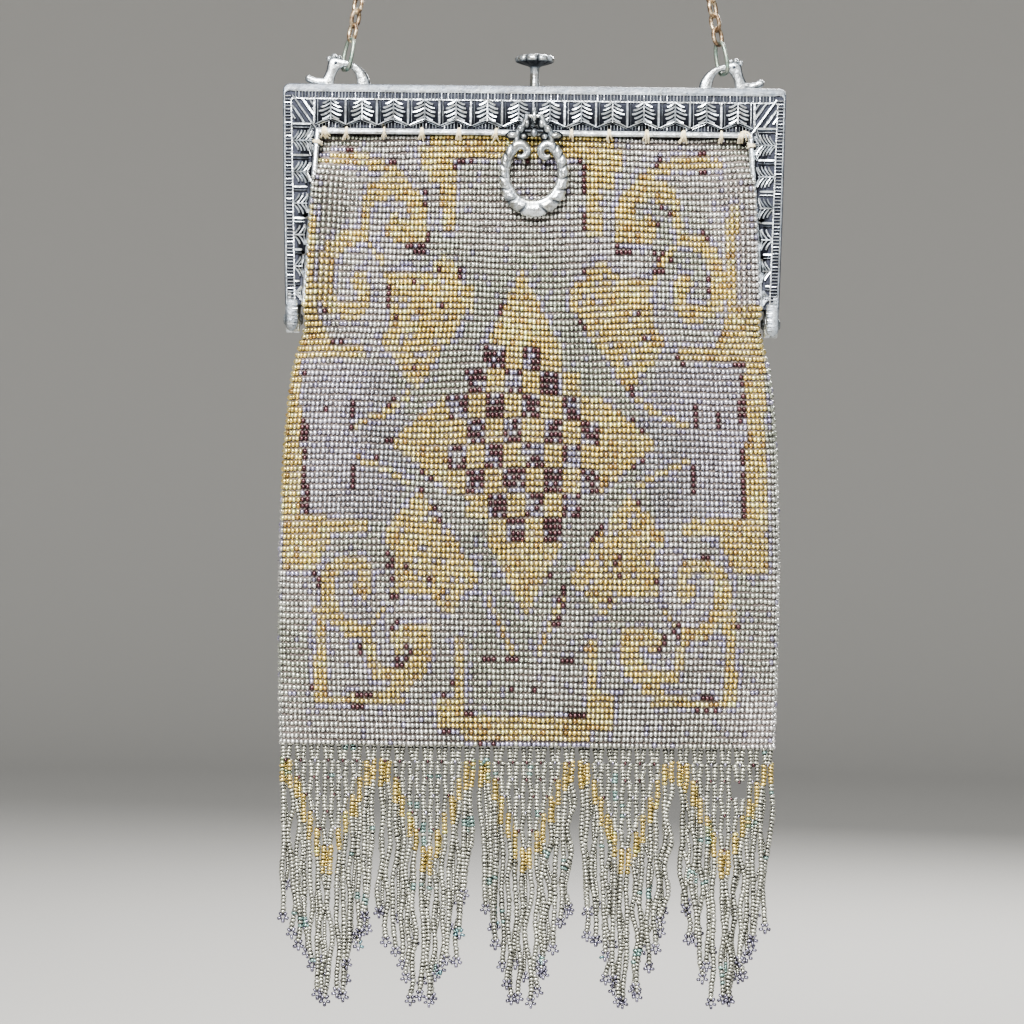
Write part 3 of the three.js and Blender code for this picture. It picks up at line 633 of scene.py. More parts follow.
SILVER = linear((226, 224, 222))
GREEN_SILVER = linear((198, 202, 188))
LAVENDER = linear((198, 194, 220))
GOLD = linear((240, 217, 143))
PALE_GOLD = linear((249, 236, 180))
MAROON = linear((104, 74, 79))
BRONZE = linear((196, 164, 108))
TURQUOISE = linear((120, 190, 190))
FRINGE_SILVER = linear((198, 198, 187))


def cloth_colours(x, z, rng):
    """The colour of each bead at x and z."""
    def choose(where, share, colour):
        """Gives that share of the places the colour."""
        colours[where & (rng.random(len(x)) < share)] = colour

    v = z - (HEM + STAR_HEIGHT)
    across = x - PATTERN_SHIFT - PATTERN_LEAN * v
    u = np.abs(across)
    colours = np.tile(SILVER, (len(x), 1))
    greenish = ripple(x, z, 45, 3) * 0.5 + 0.4
    greenish += np.clip((1 - u / 62 - np.abs(v) / 80) * 3, 0, 0.65) + 0.5 * in_bars(u, v, FOOT_BOX)
    colours += (GREEN_SILVER - SILVER) * np.clip(greenish[:, None], 0, 1)
    field = (np.abs(v) < FIELD_HEIGHT) & (u > FIELD_FROM + np.abs(v) * 0.4) & (u < FIELD_TO)
    colours[field] = colours[field] * 0.6 + LAVENDER * 0.4
    choose(u < 90, 0.05, LAVENDER * 0.8)
    gold = gold_places(u, v)
    edge = gold_places(u + EDGE_ASIDE, v) | gold_places(np.abs(u - EDGE_ASIDE), v)
    edge = (edge | gold_places(u, v + EDGE_UP) | gold_places(u, v - EDGE_UP)) & ~gold
    choose(edge, 0.6, LAVENDER)
    runs = ripple(x, z, 15, 17)
    choose(edge & (runs > 0.62), 0.6, MAROON)
    choose(in_bars(u, v, DARK_BARS) & (runs > -0.5), 0.75, MAROON)
    colours[gold] = GOLD
    choose(gold, 0.45, PALE_GOLD)
    choose(gold, 0.06, BRONZE)
    height, half = mirrored(v), LATTICE_PITCH / 2
    lines = [np.abs((u + slope * height) % LATTICE_PITCH - half) < LATTICE_LINE for slope in (1, -1)]
    lattice = in_polygon(u, height, QUATREFOIL) & (lines[0] | lines[1])
    choose(lattice, 0.3, LAVENDER)
    choose(lattice, 0.08, MAROON)
    checks, column, row = star_checks(across, v)
    is_gold = (column + row) % 2 == 0
    colours[checks & is_gold] = GOLD
    choose(checks & is_gold, 0.4, PALE_GOLD)
    dark = checks & ~is_gold
    bias = 0.5 + 0.4 * np.sin((column * 7 + row * 13) * 2.4)
    colours[dark] = MAROON
    choose(dark, 0.25 + 0.3 * bias, LAVENDER * 0.85)
    choose(dark, 0.28 * bias, SILVER)
    colours *= rng.normal(1, 0.1, (len(x), 1))
    colours *= 1 + 0.09 * ripple(x, z, 26, 5)[:, None]
    return np.clip(colours, 0.01, 1)


# The cloth's surface, read from the pouch's own rings

def pouch_levels():
    """Heights of the pouch with half its width and half its depth there."""
    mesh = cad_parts["pouch"].data
    points = np.array([vertex.co for vertex in mesh.vertices]) / METRES
    levels = np.unique(np.round(points[:, 2], 1))
    rows = [points[np.abs(points[:, 2] - level) < 0.06] for level in levels]
    return levels, *(np.array([row[:, axis].max() for row in rows]) for axis in (0, 1))


LEVELS, LEVEL_WIDTHS, LEVEL_DEPTHS = pouch_levels()


def section(z, steps):
    """A quarter of the pouch's outline at one height, from the middle of the front to its side."""
    near = z + np.linspace(-5, 5, 5)
    width, depth = (np.interp(near, LEVELS, sizes).mean() for sizes in (LEVEL_WIDTHS, LEVEL_DEPTHS))
    angle = np.linspace(0, math.pi / 2, steps)
    return np.stack([np.sin(angle) ** MOUTH_ROUND * width, -(np.cos(angle) ** MOUTH_FLAT) * depth], 1)


def arm_outside(drop):
    """Half the frame's width at that drop below its top."""
    return HALF_WIDTH - ARM_LEAN * drop / ARM_LENGTH


def arm_inside(drop):
    """Half the opening's width at that drop, where the arm's plate ends."""
    share = np.clip((drop - BAND_HEIGHT) / (ARM_PLATE - BAND_HEIGHT), 0, 1)
    return arm_outside(drop) - ARM_TOP - (ARM_LOW - ARM_TOP) * share


def smooth(value, low, high):
    share = np.clip((value - low) / (high - low), 0, 1)
    return share * share * (3 - 2 * share)


def lap_over(x, y, drop, rise):
    """Lets the front of the cloth swell over an arm's inner edge, to that height above the rim."""
    inside = arm_inside(drop)
    down = smooth(drop, *LAP_START) * (1 - smooth(drop, *LAP_END))
    amount = down * smooth(x, inside - 12, inside - 2) * smooth(-y / LEVEL_DEPTHS.max(), *LAP_FRONT)
    return np.stack([x + LAP_REACH * amount ** 2, y - (PLATE_FRONT + RIM_RAISE + rise + y) * amount], 1)


def cloth_quarter(side, front, seed):
    """The beads of the left or right half of the front or the back."""
    rng = np.random.default_rng(seed)
    columns = round(CLOTH_HALF / COLUMN_PITCH)
    rows = int((TOP - BAND_HEIGHT + CLOTH_TUCK - HEM) / ROW_PITCH)
    centres, along, outward = [], [], []
    for z in HEM + CLOTH_START + np.arange(rows) * ROW_PITCH:
        outline = section(z, 300)
        stops = (np.arange(columns) + 0.5) / columns * travelled(outline)[-1]
        ahead = unit(places_at(outline, stops + 0.4) - places_at(outline, stops - 0.4))
        normal = np.stack([ahead[:, 1], -ahead[:, 0]], 1)
        x, y = (places_at(outline, stops) - normal * BEAD_SINK).T
        drop = TOP - z
        hidden = (drop < ARM_PLATE - 1) & (x > arm_inside(drop) + 3)
        hidden |= (COVER_DROP < drop < ARM_PLATE) & (y > -LAP_FRONT[1] * LEVEL_DEPTHS.max())
        lapped = lap_over(x, y, drop, LAP_RISE)
        for vectors, flat, height in ((centres, lapped, z), (along, ahead, 0), (outward, normal, 0)):
            vectors.append(np.column_stack([flat, np.full(columns, height)])[~hidden])
    flip = np.array([side, 1 if front else -1, 1])
    centres, along, outward = (np.concatenate(vectors) * flip for vectors in (centres, along, outward))
    x, z = centres[:, 0], centres[:, 2]
    wave = 0.55 * ripple(x, z, 60, 11) + 0.12 * ripple(x, z, 9, 12)
    centres[:, 2] += wave * np.clip((z - HEM) / 12, 0.2, 1)
    centres += rng.normal(0, JITTER, centres.shape)
    centres += outward * rng.normal(0, JITTER, (len(centres), 1))
    axes = bead_axes(along * side, outward, rng, CLOTH_TURN, CLOTH_SIZES)
    return centres, axes, cloth_colours(centres[:, 0], centres[:, 2], rng)


def bead_cloth():
    for front in (True, False):
        bead = barrel(BEAD_LENGTH, BEAD_RADIUS, sides=6 if front else 5)
        for side in (1, -1):
            place = ("front" if front else "back") + ("_right" if side > 0 else "_left")
            centres, axes, colours = cloth_quarter(side, front, 20 + side + 5 * front)
            bead_mesh("bead_cloth_" + place, bead, centres, axes, colours, CLOTH_BEADS, "bead_cloth")


def ground_cloth():
    """The threads that carry the beads, as a thin closed bag behind them."""
    heights = np.linspace(HEM + 1.2, TOP - BAND_HEIGHT + CLOTH_TUCK + 0.7, 60)
    rings = []
    for inset, levels in ((GROUND_SINK, heights), (GROUND_SINK + GROUND_WALL, heights[::-1])):
        for z in levels:
            quarter = section(z, 14)
            quarter = quarter * (1 - inset / np.maximum(np.abs(quarter).max(0), inset + 0.4))
            quarter = lap_over(*quarter.T, TOP - z, LAP_RISE + BEAD_SINK - inset)
            right = np.concatenate([quarter, quarter[-2::-1] * [1, -1]])
            ring = np.concatenate([right, right[-2:0:-1] * [-1, 1]])
            rings.append(np.column_stack([ring, np.full(len(ring), z)]))
    form = Form()
    form.add(rings, closed=True)
    piece = form_object("ground_cloth", form, GROUND_THREAD, "purse", "bead_cloth")
    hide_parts("pouch")


# Fringe

def strand(top, sway, drop, rng, lean, pitch=FRINGE_BEAD_PITCH):
    """A hanging string of beads from its top to its loop, as bead places."""
    share = np.linspace(0, 1, 60)
    turn = share * drop * 2 * math.pi
    wander = sum(rng.normal(0, sway) * np.sin(turn / wave + rng.uniform(0, 6.3)) for wave in (17, 29, 46))
    settle = np.clip(share * 4, 0, 1)
    x = top[0] + wander * settle + lean * share ** 1.4
    y = top[1] + rng.normal(0, 0.35) * settle + 0.3 * np.sin(share * 9 + rng.uniform(0, 6)) * settle
    path = np.stack([x, y, top[2] - share * drop], 1)
    return even_steps(path, max(2, round(drop / pitch)))


def fringe_group(index, rng):
    """One pointed group: a net of short segments that narrows to a V, and strands from its slopes."""
    low, high = node_box(f"fringe_{index + 1}")
    middle = (low[0] + high[0]) / 2
    top = high[2] + 0.2
    count = 2 * FRINGE_ROWS
    pitch = (high[0] - low[0] + 0.9) / count
    slots = middle + (np.arange(count) - (count - 1) / 2) * pitch
    strings = []
    for row in range(FRINGE_ROWS):
        first, last = (row + 1, count - row - 1) if row else (0, count)
        for place in range(first, last):
            pair = 1 if (place - first) % 2 == 0 else -1
            lean = pair * NET_LEAN
            x = slots[place] - (lean * 0.4 if row else 0)
            start = np.array([x, rng.normal(0, 0.12), top - row * FRINGE_ROW])
            end = start + [lean + rng.normal(0, 0.15), 0, -3.85 * FRINGE_BEAD_PITCH]
            if row == 2 and index == 4 and place in (last - 2, last - 3):
                continue  # two segments are lost there
            strings.append((np.linspace(start, end, NET_BEADS), "silver"))
            if pair > 0:
                strings.append((end[None] + [pitch / 2 - lean, -0.2, -0.75], "knot"))
    for place in range(count):
        row = min(place, count - 1 - place)
        z = top - FRINGE_ROW * (row if row else 0.85)
        towards = 1 - abs(place - (count - 1) / 2) / (count / 2)
        length = FRINGE_SHORT + (FRINGE_LONG - FRINGE_SHORT) * towards ** 0.8 + rng.normal(0, 2.6)
        drop = min(length, FRINGE_LONG - LOOP_DROP) - (top - z) - LOOP_DROP
        lean = (middle - slots[place]) * 0.12 + rng.normal(0, 0.7)
        strings.append((strand((slots[place], rng.normal(0, 0.2), z), 0.42, drop, rng, lean), "strand"))
        behind = (slots[place] + rng.normal(0, 0.5) + pitch * 0.45, 1.2 + rng.normal(0, 0.2), z - 1.5)
        if place % 2 == 0:
            drop *= rng.uniform(0.75, 0.97)
            strings.append((strand(behind, 0.5, drop, rng, lean, FRINGE_BEAD_PITCH * THIN_STRAND), "thin"))
    return strings


def string_beads(string, kind, rng):
    """Groups of a string's beads, as places, directions, colours and sizes. The end loop's come first."""
    groups = []
    count = len(string)
    ahead = np.gradient(string, axis=0) if count > 1 else np.array([[1.0, 0, 0]])
    colours = np.tile(FRINGE_SILVER, (count, 1)) * rng.normal(1, 0.08)
    if kind in ("strand", "thin"):
        gold = rng.integers(6, 9)
        colours[:gold] = GOLD * 0.95 * rng.normal(1, 0.12, (gold, 1))
        angle = (np.arange(FRINGE_LOOP) + 0.5) / FRINGE_LOOP * 2 * math.pi
        across, up = np.sin(angle), np.cos(angle)
        ring = np.stack([across * 1.2, rng.normal(0, 0.1, FRINGE_LOOP), -1.75 + up * 1.25], 1)
        turn = np.stack([up, np.zeros(FRINGE_LOOP), -across], 1)
        dull = LAVENDER * 0.5 * rng.uniform(0.6, 1.3, (FRINGE_LOOP, 1))
        groups.append((string[-1] + ring, turn, dull, np.full(FRINGE_LOOP, LOOP_BEAD)))
    if kind == "knot":
        colours[:] = MAROON if rng.random() < 0.45 else LAVENDER * 0.8
    size = {"knot": KNOT_BEAD, "thin": THIN_STRAND}.get(kind, 1.0)
    return groups + [(string, ahead, colours, np.full(count, size))]


def fringe():
    bead = barrel(FRINGE_BEAD_PITCH * 0.97, FRINGE_BEAD_RADIUS, pinch=0.76)
    for index in range(5):
        rng = np.random.default_rng(60 + index)
        groups = [group for string in fringe_group(index, rng) for group in string_beads(*string, rng)]
        centres, along, colours, sizes = (np.concatenate(rows) for rows in zip(*groups))
        tarnish = ripple(centres[:, 0] + 90 * index, centres[:, 2], 13, 31)
        green = (tarnish > 0.85) & (rng.random(len(colours)) < 0.45)
        colours[green] = colours[green] * 0.45 + TURQUOISE * 0.45
        colours *= rng.normal(1, 0.12, (len(colours), 1))
        centres += rng.normal(0, JITTER, centres.shape)
        out = np.tile([0.0, -1.0, 0.0], (len(centres), 1))
        axes = bead_axes(unit(along), out, rng, FRINGE_TURN, FRINGE_SIZES) * sizes[:, None, None]
        piece = bead_mesh(f"fringe_beads_{index + 1}", bead, centres, axes, np.clip(colours, 0.01, 1),
                          FRINGE_BEADS, "fringe_beads", FRINGE_END_SHADE)
        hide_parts(f"fringe_{index + 1}")


# Frame

def frame_point(x, height, rise):
    """A place on the front half: x, height above the frame's top edge and rise above the plate's face."""
    return [x, -PLATE_FRONT - rise, TOP + height]


def blade(form, path, width, height, taper=(1, 1)):
    """A ridge on the plate along a flat path: trapezoid in section, sunk a little at its foot."""
    path = np.asarray(path, float)
    ahead = unit(np.gradient(path, axis=0))
    across = np.stack([-ahead[:, 1], ahead[:, 0]], 1)
    share = np.linspace(0, 1, len(path))
    sizes = taper[0] + (taper[1] - taper[0]) * share
    halves = width / 2 * sizes * (1 - 0.35 * (2 * share - 1) ** 2)
    lean = math.sin(path[0].sum() * 7.3 + path[-1].sum() * 3.1)  # castings never come out even
    shade = 0.86 + 0.14 * math.sin(path[-1].sum() * 11.7)
    rings = []
    for spot, side, half, size in zip(path, across, halves, sizes):
        low, high = (height * (size + tilt * lean) for tilt in (-0.16, 0.16))
        profile = ((-half, -0.12), (-half * 0.45, low), (half * 0.45, high), (half, -0.12))
        rings.append([frame_point(*(spot + side * reach), rise) for reach, rise in profile])
    form.add(rings, [0.12, shade, shade, 0.12] * len(path))


def leaf_panel(form, origin, right, up, width, height, rng):
    """A fir between two columns: trunk, drooping branches, two long sweeps and short ribs below them."""
    def ridge(spots, *style):
        blade(form, [origin + right * a + up * b for a, b in spots], *style)

    half = width / 2
    spread = min(half / 5.1, 1)
    tall = height > 9
    foot, first, step, thick = (0.28, 0.16, 1.25, 1.3) if tall else (0.1, 0.12, 1.05, 1.05)
    ridge([(0, height * share) for share in (foot, 0.65, 0.99)], 0.95, 0.85, (1.1, 0.8))
    for side in (-1, 1):
        for level in np.linspace(0.99, foot + first, max(3, round(height * (0.99 - foot) / step))):
            start = height * level
            reach = (3.75 - abs(level - 0.72) / 0.28 if tall else 3.5 - 0.8 * abs(level - 0.6)) * spread
            reach *= side * rng.uniform(0.92, 1.05)
            fall = 1.35 if tall else min(1.9, start - 0.15)
            ridge([(side * 0.2, start), (reach * 0.4, start - fall * 0.5), (reach * 0.75, start - fall * 0.9),
                   (reach, start - fall)], thick, 0.8, (0.8, 1.0))
        if height < 6.3:
            continue
        for shift, thin in ((0.0, 0.75), (0.9, 0.4)):
            sweep = [(side * 0.3, height * 0.33 - shift * 0.8),
                     (side * half * 0.5, height * 0.245 - shift * 0.75),
                     (side * (half * 0.98 - shift * 0.4), height * 0.12 - shift * 0.5)]
            ridge(sweep, thin, 0.6, (0.9, 1.0))
        for rib in range(4):
            reach = (0.5 + rib * 0.95) * half / 4.6
            if reach < half * 0.8:
                ceiling = height * (0.2 - 0.11 * reach / half)
                ridge([(side * reach, 0.12), (side * reach, ceiling)], 0.55, 0.5)


def column(form, foot, head, beside):
    """A raised fillet between two panels with a pointed foot, and a thin one beside it."""
    foot, head, beside = np.array(foot), np.array(head), np.array(beside)
    for offset, width in ((-0.3, 1.45), (0.85, 0.4)):
        spots = [foot + beside * offset + (head - foot) * share for share in (0, 0.12, 0.5, 1)]
        blade(form, spots, width, 0.62, (0.6, 1.1))


def outline_stations():
    """Where a half's section is set, from one arm's end to the other's: outer and inner point, lip width."""
    right = [((arm_outside(drop), -drop), (arm_inside(drop), -drop), LIP_SIDE) for drop in (ARM_PLATE, 40)]
    corner_x = HALF_WIDTH - 0.45
    for share in np.linspace(0, 1, 4):
        angle = share * math.pi / 2
        outer = (corner_x - CORNER_ROUND * (1 - math.cos(angle)), -CORNER_ROUND * (1 - math.sin(angle)))
        inner = (corner_x - ARM_TOP - share * 0.15, -BAND_HEIGHT - (1 - share) * 0.15)
        right.append((outer, inner, LIP_SIDE + (LIP_TOP - LIP_SIDE) * share))
    right = [(np.array(outer), np.array(inner), lip) for outer, inner, lip in right]
    return right + [(outer * [-1, 1], inner * [-1, 1], lip) for outer, inner, lip in right[::-1]]


def frame_shell(form):
    """The pressed body of a half, as one closed strip: flange, bevelled lip, rib channel, field and rim."""
    rings, reliefs = [], []
    for outer, inner, lip in outline_stations():
        inward = (inner - outer) / np.abs(inner - outer).max()
        ribs = lip + RIB_STRIP
        rows = [  # from which edge, how far inwards, how high, and the relief
            (outer, 0.0, -PLATE_FRONT + PARTING, 0.5),
            (outer, 0.0, -0.5, 0.5),
            (outer, 0.35, LIP_RAISE * 0.7, 0.2),
            (outer, lip * 0.5, LIP_RAISE * 0.9, 0.28),
            (outer, lip * 0.85, LIP_RAISE, 0.6),
            (outer, lip, LIP_RAISE * 0.8, 0.8),
            (outer, lip + 0.15, -0.1, 0.0),
            (outer, ribs - 0.35, -0.1, 0.0),
            (outer, ribs - 0.3, 0.4, 1.0),
            (outer, ribs + 0.1, 0.4, 1.0),
            (outer, ribs + 0.2, -0.15, 0.0),
            (inner, -RIM_WIDTH - 0.1, -0.15, 0.0),
            (inner, -RIM_WIDTH + 0.1, RIM_RAISE * 0.6, 0.9),
            (inner, -RIM_WIDTH * 0.65, RIM_RAISE, 0.8),
            (inner, -RIM_WIDTH * 0.3, RIM_RAISE, 0.8),
            (inner, 0.0, RIM_RAISE * 0.4, 0.9),
            (inner, 0.0, -PLATE_WALL, 0.4),
            (outer, FLANGE_WALL, -PLATE_WALL, 0.3),
            (outer, FLANGE_WALL, -PLATE_FRONT + PARTING, 0.5),
        ]
        rings.append([frame_point(*(edge + inward * reach), rise) for edge, reach, rise, _ in rows])
        reliefs.append([relief for *_, relief in rows])
    form.add(rings, reliefs)


def frame_ribs(form, rng):
    """Short upright ribs all round, between the lip and the field."""
    count = round(2 * (HALF_WIDTH - 4) / RIB_PITCH)
    top = -LIP_TOP - 0.1
    for x in (np.arange(count) - (count - 1) / 2) * RIB_PITCH:
        blade(form, [(x, top), (x, top - RIB_STRIP + 0.35)], 0.86 * rng.uniform(0.9, 1.1), 0.7)
    for drop in np.arange(3.6 + RIB_PITCH / 2, ARM_PLATE - 0.4, RIB_PITCH):
        x = arm_outside(drop) - LIP_SIDE - 0.1
        for side in (-1, 1):
            rib = [(side * x, -drop), (side * (x - RIB_STRIP + 0.35), -drop)]
            blade(form, rib, 0.8 * rng.uniform(0.9, 1.1), 0.62)


def arm_field(drop):
    """The outer and the inner edge of an arm's field at that drop."""
    return arm_outside(drop) - LIP_SIDE - RIB_STRIP, arm_inside(drop) + RIM_WIDTH


def frame_field(form, rng):
    """Leaves and columns in the band and down the arms, and the mitred corners."""
    foot, head = -BAND_HEIGHT + RIM_WIDTH, -LIP_TOP - RIB_STRIP
    across, up = np.array([1.0, 0]), np.array([0, 1.0])
    for index in range(PANELS):
        spot = np.array([(index - (PANELS - 1) / 2) * PANEL_PITCH, foot])
        leaf_panel(form, spot, across, up, PANEL_PITCH, head - foot, rng)
    for index in range(PANELS + 1):
        x = (index - PANELS / 2) * PANEL_PITCH
        column(form, (x, foot + 1.2), (x, head), (-1 if index == PANELS else 1, 0))
    for side in (-1, 1):
        for index in range(ARM_PANELS):
            drop = ARM_PANEL_START + ARM_PANEL_PITCH * index
            outer, inner = arm_field(drop)
            column(form, (side * (inner + 0.9), -drop), (side * outer, -drop), (0, -1))
            middle, width = (3.6, 7.2) if index == ARM_PANELS - 1 else (5.12, ARM_PANEL_PITCH)
            drop += middle
            outer, inner = arm_field(drop)
            leaf_panel(form, np.array([side * inner, -drop]), up, across * side, width, outer - inner, rng)
        corner = np.array([side * (HALF_WIDTH - 3.6), -LIP_TOP - 1.2])
        crook = np.array([side * (HALF_WIDTH - ARM_TOP + 0.8), -BAND_HEIGHT + 1.5])
        blade(form, np.linspace(corner, crook, 4), 1.2, 0.9)
        run = crook - corner
        beside = unit([-run[1], run[0]])
        for shift, start, end, width in CORNER_STROKES:
            for away in (-beside * shift, beside * shift):
                stroke = np.linspace(corner + run * start + away, corner + run * end + away, 4)
                blade(form, stroke, width, 0.85, (0.75, 1.0))


def hole_places():
    """Sewing holes at the field's foot: along the band, then down each arm."""
    foot = -BAND_HEIGHT + RIM_WIDTH + HOLE_INSET
    band = [index * HOLE_PITCH for index in range(-5, 6) if index] + [-HOLE_CORNER, HOLE_CORNER]
    arm = BAND_HEIGHT + 2.6 + np.arange(4) * HOLE_PITCH
    return [(x, foot) for x in band] + [
        (side * (arm_inside(drop) + RIM_WIDTH + HOLE_INSET), -drop) for side in (-1, 1) for drop in arm]


def cut_holes(piece):
    """Cuts the sewing holes through the plate."""
    form = Form()
    for x, height in hole_places():
        path = [frame_point(x, height, rise) for rise in (1.5, -PLATE_WALL - 1)]
        tube(form, path, HOLE_RADIUS, (0, 0, 1), sides=12)
    cutter = form_object("hole_cutter", form, METALS["cast"], "purse", "cast_metal")
    modifier = piece.modifiers.new("holes", "BOOLEAN")
    modifier.object = cutter
    modifier.solver = "EXACT"
    cut = bpy.data.meshes.new_from_object(piece.evaluated_get(bpy.context.evaluated_depsgraph_get()))
    piece.modifiers.remove(modifier)
    piece.data = cut
    bpy.data.objects.remove(cutter)


def hinge_ear(form, left, right):
    """A rounded hinge leaf behind the arm's end, with eased edges."""
    head = HINGE_DROP - HINGE_RADIUS - 4.6
    outline = [(-PARTING, head), (-PLATE_FRONT, head), (-PLATE_FRONT, HINGE_DROP - HINGE_RADIUS / 2)]
    for angle in np.radians(np.linspace(200, 450, 17)):
        outline.append((math.cos(angle) * HINGE_RADIUS, HINGE_DROP - math.sin(angle) * HINGE_RADIUS))
    middle = np.mean(outline, 0)
    rings = []
    for x, size in ((left, 0.94), (left + 0.25, 1.0), (right - 0.25, 1.0), (right, 0.94)):
        rings.append([[x, y, TOP - drop] for y, drop in middle + (outline - middle) * size])
    form.add(rings, 0.8)


def knuckle(form, side):
    """The arm's rounded end in front of the hinge, plain outside and ribbed inside."""
    outside = arm_outside(HINGE_DROP)
    middle = side * (outside - KNUCKLE_WIDTH / 2)
    drops = np.linspace(ARM_PLATE - 1.5, ARM_LENGTH - 0.4, 16)
    share = np.clip((drops - ARM_LENGTH + 2.6) / 2.4, 0, 0.97)
    half = KNUCKLE_WIDTH / 2 * np.sqrt(1 - share ** 2)
    radii = np.stack([half, np.maximum(half / half[0], 0.5) * 1.25], 1)
    path = [(middle, -PLATE_FRONT + 0.75, TOP - drop) for drop in drops]
    tube(form, path, radii, (0, 1, 0), sides=18, relief=0.55, square=0.75)
    for index in range(7):
        drop = ARM_PLATE + (index + 0.3) * RIB_PITCH
        inner = outside - KNUCKLE_WIDTH + (0.65 if index == 6 else 0.35)
        blade(form, [(middle - side * 0.1, -drop), (side * inner, -drop)], 0.66, 0.78)


def frame_half(front):
    """One half of the frame, which replaces its CAD node."""
    rng = np.random.default_rng(7 if front else 8)
    name = "front" if front else "back"
    shell, relief = Form(), Form()
    frame_shell(shell)
    piece = form_object(f"frame_{name}_body", shell, METALS["cast"], "purse", "cast_metal", 30)
    cut_holes(piece)
    frame_ribs(relief, rng)
    frame_field(relief, rng)
    outside = arm_outside(HINGE_DROP) - (0 if front else EAR_WIDTH + CLEARANCE)
    for side in (-1, 1):
        hinge_ear(relief, *sorted((side * outside, side * (outside - EAR_WIDTH))))
        knuckle(relief, side)
    ornament = form_object(f"frame_{name}_ornament", relief, METALS["cast"], "purse", "cast_metal", 35)
    for made in (piece, ornament):
        if not front:
            for vertex in made.data.vertices:
                vertex.co.x *= -1
                vertex.co.y *= -1
        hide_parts(f"frame_{name}")


# Handle

def chain_line(side):
    """Where the chain leaves a loop's eye, its direction, the hook and how far round it the chain lies."""
    eye_radius = LOOP_EYE_WIDTH / 2
    ring_reach = RING_WIDTH / 2 * math.sin(RING_TURN)
    arch_fall = eye_radius - math.sqrt(eye_radius ** 2 - ring_reach ** 2)
    seat = np.array([side * LOOP_X, LOOP_PLANE, TOP + CLEARANCE + LOOP_EYE_HEIGHT - arch_fall])
    hook = np.array([0, 0, -HOOK_RADIUS])
    reach = HOOK_RADIUS + CHAIN_THICKNESS / 2
    swing = side * math.asin(reach / np.linalg.norm(hook - seat))
    x, y, z = unit(hook - seat)
    cos, sin = math.cos(swing), math.sin(swing)
    return seat, np.array([x * cos + z * sin, y, z * cos - x * sin]), hook, reach


def ring_centre(side):
    seat, along, _, _ = chain_line(side)
    return seat + along * (RING_LENGTH / 2 - CLEARANCE)


def end_rings():
    for side, name in SIDES:
        along = chain_line(side)[1]
        across = unit(np.cross([0, 1, 0], along))
        normal = across * math.cos(RING_TURN) + np.cross(along, across) * math.sin(RING_TURN)
        outward = unit(np.cross(normal, along))
        length, width = (RING_LENGTH + RING_WIRE) / 2, (RING_WIDTH + RING_WIRE) / 2
        form = Form()
        path = oval(ring_centre(side), length * along, width * outward, 0.5, 40)
        tube(form, path, RING_WIRE / 2, normal, sides=12, closed=True, relief=0.7)
        piece = form_object(f"chain_end_{name}", form, METALS["ring"], "purse", "chain_metal")
        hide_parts(f"end_ring_{name}")


def chain_route():
    """The handle's line: up from one end ring, round the hook and down to the other."""
    halves = []
    for side in (-1, 1):
        _, along, hook, reach = chain_line(side)
        start = ring_centre(side) + along * (RING_LENGTH / 2 + RING_WIRE * 0.4)
        end = start + along * np.dot(hook - start, along)
        outward = unit(end - hook)
        lean = math.atan2(outward[0] * side, outward[2])
        bends = [lean * 2 / 3, lean / 3]
        halves.append([*np.linspace(start, end, 7)] + [
            hook + np.array([side * math.sin(bend), 0, math.cos(bend)]) * reach for bend in bends])
    return halves[0] + [np.array([0, 0, CHAIN_THICKNESS / 2])] + halves[1][::-1]


def handle_chain():
    rng = np.random.default_rng(41)
    dense = smooth_path(chain_route(), 900)
    count = round(travelled(dense)[-1] / LINK_PITCH)
    middles = even_steps(dense, 2 * count + 1)[1::2]
    length, width = (LINK_LENGTH - LINK_WIRE) / 2, (LINK_WIDTH - LINK_WIRE) / 2
    form = Form()
    for index, (middle, along) in enumerate(zip(middles, unit(np.gradient(middles, axis=0)))):
        side = unit(np.cross(along, [0, 1, 0]))
        turn = math.radians((48 if index % 2 else -42) + rng.normal(0, 6))
        across = side * math.cos(turn) + np.cross(along, side) * math.sin(turn)
        path = oval(middle, along * length, across * width, 0.8, 18)
        tube(form, path, LINK_WIRE / 2, np.cross(along, across), sides=6, closed=True)
    piece = form_object("chain_links", form, CHAIN_METAL, "purse", "chain_metal", 80)
    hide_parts("handle_chain")


LOOP_OUTER = [  # a loop's outer edge at angles round its eye: outwards, and above its foot
    (0, -8.3, -0.1), (20, -7.7, 2.6), (40, -6.2, 5.0), (60, -4.1, 6.8), (80, -1.5, 7.9),
    (95, 0.6, 8.6), (112, 2.6, 9.2), (126, 4.3, 9.4), (138, 5.6, 8.7), (150, 6.0, 6.8),
    (163, 6.4, 4.6), (172, 7.4, 2.6), (180, 9.0, -0.1),
]
LOOP_TAIL = [(6.6, 1.2), (8.6, 1.25), (10.4, 1.5), (12.0, 2.2)]
LOOP_TIP = (12.15, 2.3, 1.25)
LOOP_LOBES = [(2.1, 9.1, 0.9), (3.9, 9.5, 1.05), (5.5, 8.8, 0.95)]  # outwards, up and radius
LOOP_HOLLOW = (3.3, 7.4, 0.6)
LOOP_PINS = (-5.6, 6.2)


def ball(form, centre, radii, relief=1.0, rings=7, sides=12):
    """A plump round body with its own radius along each axis."""
    cos, sin = circle(sides)
    lift = np.linspace(0.12 - math.pi / 2, math.pi / 2 - 0.12, rings)
    rows = [np.stack([cos * math.cos(a), np.full(sides, math.sin(a)), sin * math.cos(a)], 1) for a in lift]
    form.add(np.array(rows) * radii + centre, relief)


